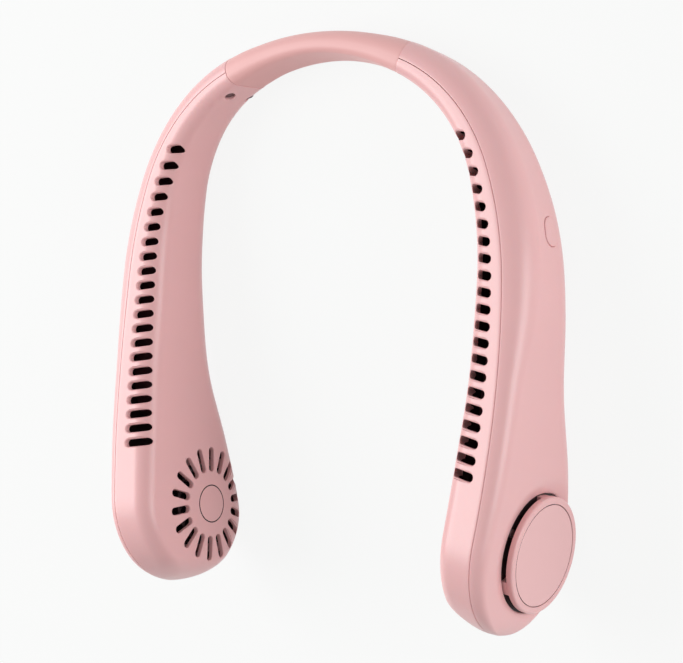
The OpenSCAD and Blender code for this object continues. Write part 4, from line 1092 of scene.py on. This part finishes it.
class NeckFanStage(bpy.types.PropertyGroup):
    """Camera and light."""

    azimuth: bpy.props.FloatProperty(
        name="Azimuth", description="Direction of the camera round the fan, from its front",
        subtype="ANGLE", default=math.radians(37.38))
    elevation: bpy.props.FloatProperty(
        name="Elevation", description="Height of the camera over the plane across the arms",
        subtype="ANGLE", default=math.radians(-3.97))
    roll: bpy.props.FloatProperty(
        name="Roll", description="Turn of the camera about its line of sight", subtype="ANGLE",
        default=math.radians(5.33))
    distance: bpy.props.FloatProperty(
        name="Distance", description="Distance of the camera", unit="LENGTH", subtype="DISTANCE",
        default=0.59022, min=0.2)
    lens: bpy.props.FloatProperty(
        name="Focal Length", description="Focal length of the camera", subtype="DISTANCE_CAMERA",
        default=86.442, min=20)
    key_power: bpy.props.FloatProperty(
        name="Key Light", description="Power of the large soft light", unit="POWER", default=10.5, min=0)
    side_power: bpy.props.FloatProperty(
        name="Side Light", description="Power of the low light from the side", unit="POWER",
        default=4.4, min=0)
    room_level: bpy.props.FloatProperty(
        name="Room Level", description="Strength of the even light of the room", default=0.36, min=0)


def fan_body(side):
    """First word of the names of one arm's pieces and of its body."""
    return "right" if side > 0 else "left"


class NECKFAN_OT_band(bpy.types.Operator):
    """Build the soft neck band in two halves that meet the arms"""

    bl_idname = "neckfan.band"
    bl_label = "Neck Band"

    def execute(self, context):
        look, finish = context.scene.neckfan_form, context.scene.neckfan_finish
        mat = moulded("soft_band", linear(finish.band_colour), finish.band_roughness, 0.05, 0.12, 4200.0,
                      0.05, Sheen_Weight=0.12, Sheen_Roughness=0.5)
        for side in (1, -1):
            word = fan_body(side)
            band = band_half(f"band_sleeve_{word}", side, look)
            dress(band, None, "soft_silicone", mat, "band_sleeve")
            start, end = (to_row(carry(np.array([q]), np.zeros((1, 1, 2))), side)[0, 0]
                          for q in (JOINT_Q - BEND_REACH, JOINT_Q))
            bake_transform(band)
        return {"FINISHED"}


class NECKFAN_OT_shells(bpy.types.Operator):
    """Build the four half shells of the arms"""

    bl_idname = "neckfan.shells"
    bl_label = "Arm Shells"

    def execute(self, context):
        look, finish = context.scene.neckfan_form, context.scene.neckfan_finish
        mat = moulded("pink_shell", linear(finish.shell_colour), finish.shell_roughness, 0.03, 0.05, 6500.0,
                      0.02, Coat_Weight=0.12, Coat_Roughness=0.25, Subsurface_Weight=0.06,
                      Subsurface_Scale=0.0012)
        # Painted shade on the shells' inner faces, dark so that the slots and gaps look shaded inside
        inside = moulded("shell_inside_shade", linear(finish.inside_shade_colour), 0.6, 0.1, 0.1, 4000.0, 0.05)
        for side in (1, -1):
            word = fan_body(side)
            inner = inner_half(f"{word}_inner_skin", side, look)
            dress(inner, f"{word}_arm", "pink_plastic", mat, f"{word}_inner_shell", lining=inside)
            outer = outer_half(f"{word}_outer_skin", side, look)
            dress(outer, f"{word}_arm", "pink_plastic", mat, f"{word}_outer_shell", lining=inside)
        return {"FINISHED"}


class NECKFAN_OT_discs(bpy.types.Operator):
    """Build the raised discs and their plates"""

    bl_idname = "neckfan.discs"
    bl_label = "Outer Discs"

    def execute(self, context):
        look, finish = context.scene.neckfan_form, context.scene.neckfan_finish
        rim = bpy.data.materials["pink_shell"]
        plate = moulded("glossy_plate", linear(finish.shell_colour), 0.24, 0.02, 0.02, 6500.0, 0.015,
                        Coat_Weight=0.35, Coat_Roughness=0.12)
        for side in (1, -1):
            word = fan_body(side)
            disc = outer_disc(f"{word}_raised_disc", side, look)
            dress(disc, f"{word}_arm", "pink_plastic", rim, f"{word}_outer_disc")
            face = disc_plate(f"{word}_disc_face", side, look)
            # the plate's edge takes the painted shade of the shells' inner faces
            dress(face, f"{word}_arm", "plate_plastic", plate, f"{word}_disc_plate",
                  lining=bpy.data.materials["shell_inside_shade"])
        return {"FINISHED"}


class NECKFAN_OT_button(bpy.types.Operator):
    """Build the power button"""

    bl_idname = "neckfan.button"
    bl_label = "Power Button"

    def execute(self, context):
        cap = power_button("button_cap", 1, context.scene.neckfan_form)
        dress(cap, "button", "pink_plastic", bpy.data.materials["pink_shell"], "power_button")
        return {"FINISHED"}


class NECKFAN_OT_works(bpy.types.Operator):
    """Give the pieces inside and the fasteners their finishes"""

    bl_idname = "neckfan.works"
    bl_label = "Inner Pieces"

    def execute(self, context):
        dark = linear(context.scene.neckfan_finish.dark_colour)
        finishes = {
            "black_nylon": (dark, 0.55, 0.15, 0.25, 3500.0),
            "divider_mauve": (linear((0.36, 0.22, 0.24)), 0.5, 0.1, 0.2, 3500.0),
            "wheel_black": (dark, 0.42, 0.12, 0.12, 4000.0),
            "wire_cover": ((0.4, 0.02, 0.02), 0.45, 0.1, 0.1, 3000.0),
            # Painted shade: the coupler screws are dark brown so that their holes look shaded inside
            "screw_painted_shade": ((0.13, 0.062, 0.066), 0.5, 0.12, 0.2, 3000.0),
            "cell_wrap": ((0.05, 0.12, 0.36), 0.3, 0.08, 0.1, 1500.0, 0.2),
            "board_green": ((0.01, 0.09, 0.035), 0.35, 0.2, 0.3, 1800.0),
        }
        metals = {
            "spring_steel": ((0.5, 0.51, 0.53), 0.3, 0.1, 0.1, 2500.0),
            "screw_steel": ((0.42, 0.42, 0.44), 0.34, 0.15, 0.2, 3000.0),
            "winding": ((0.55, 0.2, 0.07), 0.32, 0.3, 0.6, 2600.0),
            "bronze": ((0.5, 0.32, 0.12), 0.4, 0.2, 0.3, 3000.0),
            "shaft_steel": ((0.55, 0.56, 0.58), 0.22, 0.08, 0.08, 3500.0),
            "port_steel": ((0.5, 0.51, 0.53), 0.28, 0.08, 0.1, 3000.0),
        }
        made = {name: moulded(name, *values) for name, values in finishes.items()}
        made |= {name: moulded(name, *values, Metallic=1.0) for name, values in metals.items()}
        both = {
            "black_nylon": ("band_coupler", "motor_base", "intake_plate"),
            "divider_mauve": ("air_divider",),
            "wheel_black": ("blower_wheel",),
            "screw_painted_shade": ("coupler_screws",),
            "screw_steel": ("motor_screws", "shell_screws"),
            "cell_wrap": ("battery",),
            "winding": ("motor_stator",),
            "bronze": ("motor_bearing",),
            "shaft_steel": ("motor_shaft", "motor_rotor"),
            "wire_cover": ("wiring",),
        }
        single = {
            "spring_steel": ("band_spring_strip",), "wire_cover": ("band_wires",),
            "screw_steel": ("board_screws",), "board_green": ("control_board",),
            "black_nylon": ("tactile_switch",), "port_steel": ("charging_port",),
        }
        for finish, names in both.items():
            for name, side in itertools.product(names, (-1, 1)):
                finish_node(f"{fan_body(side)}_{name}", made[finish])
        for finish, names in single.items():
            for name in names:
                finish_node(name, made[finish])
        return {"FINISHED"}


def area_light(name, place, size, power):
    """Square soft light at a place in metres that faces the middle of the fan."""
    data = bpy.data.lights.new(name, "AREA")
    data.shape, data.size, data.energy = "SQUARE", size, power
    lamp = bpy.data.objects.new(name, data)
    bpy.context.scene.collection.objects.link(lamp)
    back = np.array(place, float) - np.array(LIT_POINT)
    back /= np.linalg.norm(back)
    right = np.cross([0, 0, 1.0] if abs(back[2]) < 0.95 else [0, 1.0, 0], back)
    right /= np.linalg.norm(right)
    up = np.cross(back, right)
    lamp.matrix_world = Matrix([[right[k], up[k], back[k], place[k]] for k in range(3)] + [[0, 0, 0, 1]])
    return lamp


def camera_matrix(stage):
    """Camera at the photograph's angle. Its axes are worked out over the plane across the arms and
    tipped with the fan to the table."""
    az, el, roll = stage.azimuth, stage.elevation, stage.roll
    back = np.array([math.sin(az) * math.cos(el), math.sin(el), math.cos(az) * math.cos(el)])
    right = np.cross([0, 1, 0], back)
    right /= np.linalg.norm(right)
    up = np.cross(back, right)
    c, s = math.cos(roll), math.sin(roll)
    right, up = c * right + s * up, c * up - s * right
    centre = AIM_RIGHT * right + AIM_UP * up + stage.distance / MM * back - np.array([0, AIM_BACK, 0])
    c, s = math.cos(REST_TILT), math.sin(REST_TILT)
    tip_row = np.array([[1, 0, 0], [0, c, s], [0, -s, c]])
    axes = np.stack([tip_row @ v for v in (right, up, back)], 1)
    place = to_row(centre)
    return Matrix([[*axes[k], place[k]] for k in range(3)] + [[0, 0, 0, 1]])


def stage_material(name, colour):
    """Pale matt surface that the camera and reflections see as an even background, while it still
    takes the fan's shadow."""
    mat, tree, shader = material(name)
    noise = tree.nodes.new("ShaderNodeTexNoise")
    noise.inputs["Scale"].default_value = 40.0
    ramp = tree.nodes.new("ShaderNodeMix")
    ramp.data_type = "RGBA"
    ramp.inputs["A"].default_value = (*colour, 1)
    ramp.inputs["B"].default_value = (*[v * 0.995 for v in colour], 1)
    tree.links.new(noise.outputs["Fac"], ramp.inputs["Factor"])
    tree.links.new(ramp.outputs["Result"], shader.inputs["Base Color"])
    shader.inputs["Roughness"].default_value = 0.9
    return mat, tree, shader


class NECKFAN_OT_stage(bpy.types.Operator):
    """Set the floor, the lights and the camera"""

    bl_idname = "neckfan.stage"
    bl_label = "Stage"

    def execute(self, context):
        scene, stage = context.scene, context.scene.neckfan_stage
        scene.view_settings.view_transform = "Standard"
        spread_out = (-FLOOR_HALF, FLOOR_HALF)
        corners = np.pad(corners_of(spread_out, spread_out), ((0, 0), (0, 1)))
        floor = make_mesh("floor", corners, np.array([[0, 1, 2, 3]]))
        mat, tree, shader = stage_material("pale_floor", FLOOR_COLOUR)
        floor.data.materials.append(mat)
        lit = tree.nodes.new("ShaderNodeEmission")
        lit.inputs["Color"].default_value = (*BACKDROP_COLOUR, 1)
        mix = tree.nodes.new("ShaderNodeMixShader")
        rays = tree.nodes.new("ShaderNodeLightPath")
        either = maths(tree, "MAXIMUM", rays.outputs["Is Camera Ray"], rays.outputs["Is Glossy Ray"])
        tree.links.new(maths(tree, "MULTIPLY", either, BACKDROP_SHARE), mix.inputs["Fac"])
        tree.links.new(shader.outputs["BSDF"], mix.inputs[1])
        tree.links.new(lit.outputs["Emission"], mix.inputs[2])
        tree.links.new(mix.outputs["Shader"], tree.nodes["Material Output"].inputs["Surface"])
        world = bpy.data.worlds.new("room")
        scene.world = world
        world.use_nodes = True
        world.node_tree.nodes["Background"].inputs["Color"].default_value = (1, 1, 1, 1)
        world.node_tree.nodes["Background"].inputs["Strength"].default_value = stage.room_level
        area_light("key_light", KEY_PLACE, KEY_SIZE, stage.key_power)
        area_light("side_light", SIDE_PLACE, SIDE_SIZE, stage.side_power)
        camera = bpy.data.cameras.new("photo_camera")
        camera.lens, camera.sensor_width = stage.lens, 36.0
        view = bpy.data.objects.new("photo_camera", camera)
        scene.collection.objects.link(view)
        view.matrix_world = camera_matrix(stage)
        scene.camera = view
        return {"FINISHED"}


class NECKFAN_PT_panel(bpy.types.Panel):
    """Buttons that build the fan piece by piece"""

    bl_label = "Neck Fan"
    bl_idname = "NECKFAN_PT_panel"
    bl_space_type = "VIEW_3D"
    bl_region_type = "UI"
    bl_category = "Neck Fan"

    def draw(self, context):
        for operator in OPERATORS:
            self.layout.operator(operator.bl_idname)
        for group_name in GROUPS:
            holder, box = getattr(context.scene, group_name), self.layout.box()
            for key in holder.__annotations__:
                box.prop(holder, key)


OPERATORS = (NECKFAN_OT_stage, NECKFAN_OT_band, NECKFAN_OT_shells, NECKFAN_OT_discs, NECKFAN_OT_button,
             NECKFAN_OT_works)
GROUPS = {"neckfan_form": NeckFanForm, "neckfan_finish": NeckFanFinish, "neckfan_stage": NeckFanStage}


def register():
    for cls in (*GROUPS.values(), *OPERATORS, NECKFAN_PT_panel):
        bpy.utils.register_class(cls)
    for key, cls in GROUPS.items():
        setattr(bpy.types.Scene, key, bpy.props.PointerProperty(type=cls))


def unregister():
    for key in GROUPS:
        delattr(bpy.types.Scene, key)
    for cls in reversed((*GROUPS.values(), *OPERATORS, NECKFAN_PT_panel)):
        bpy.utils.unregister_class(cls)


def main():
    """Builds everything in order."""
    register()
    bpy.ops.neckfan.stage()
    bpy.ops.neckfan.band()
    bpy.ops.neckfan.shells()
    bpy.ops.neckfan.discs()
    bpy.ops.neckfan.button()
    bpy.ops.neckfan.works()


if __name__ == "__main__":
    main()
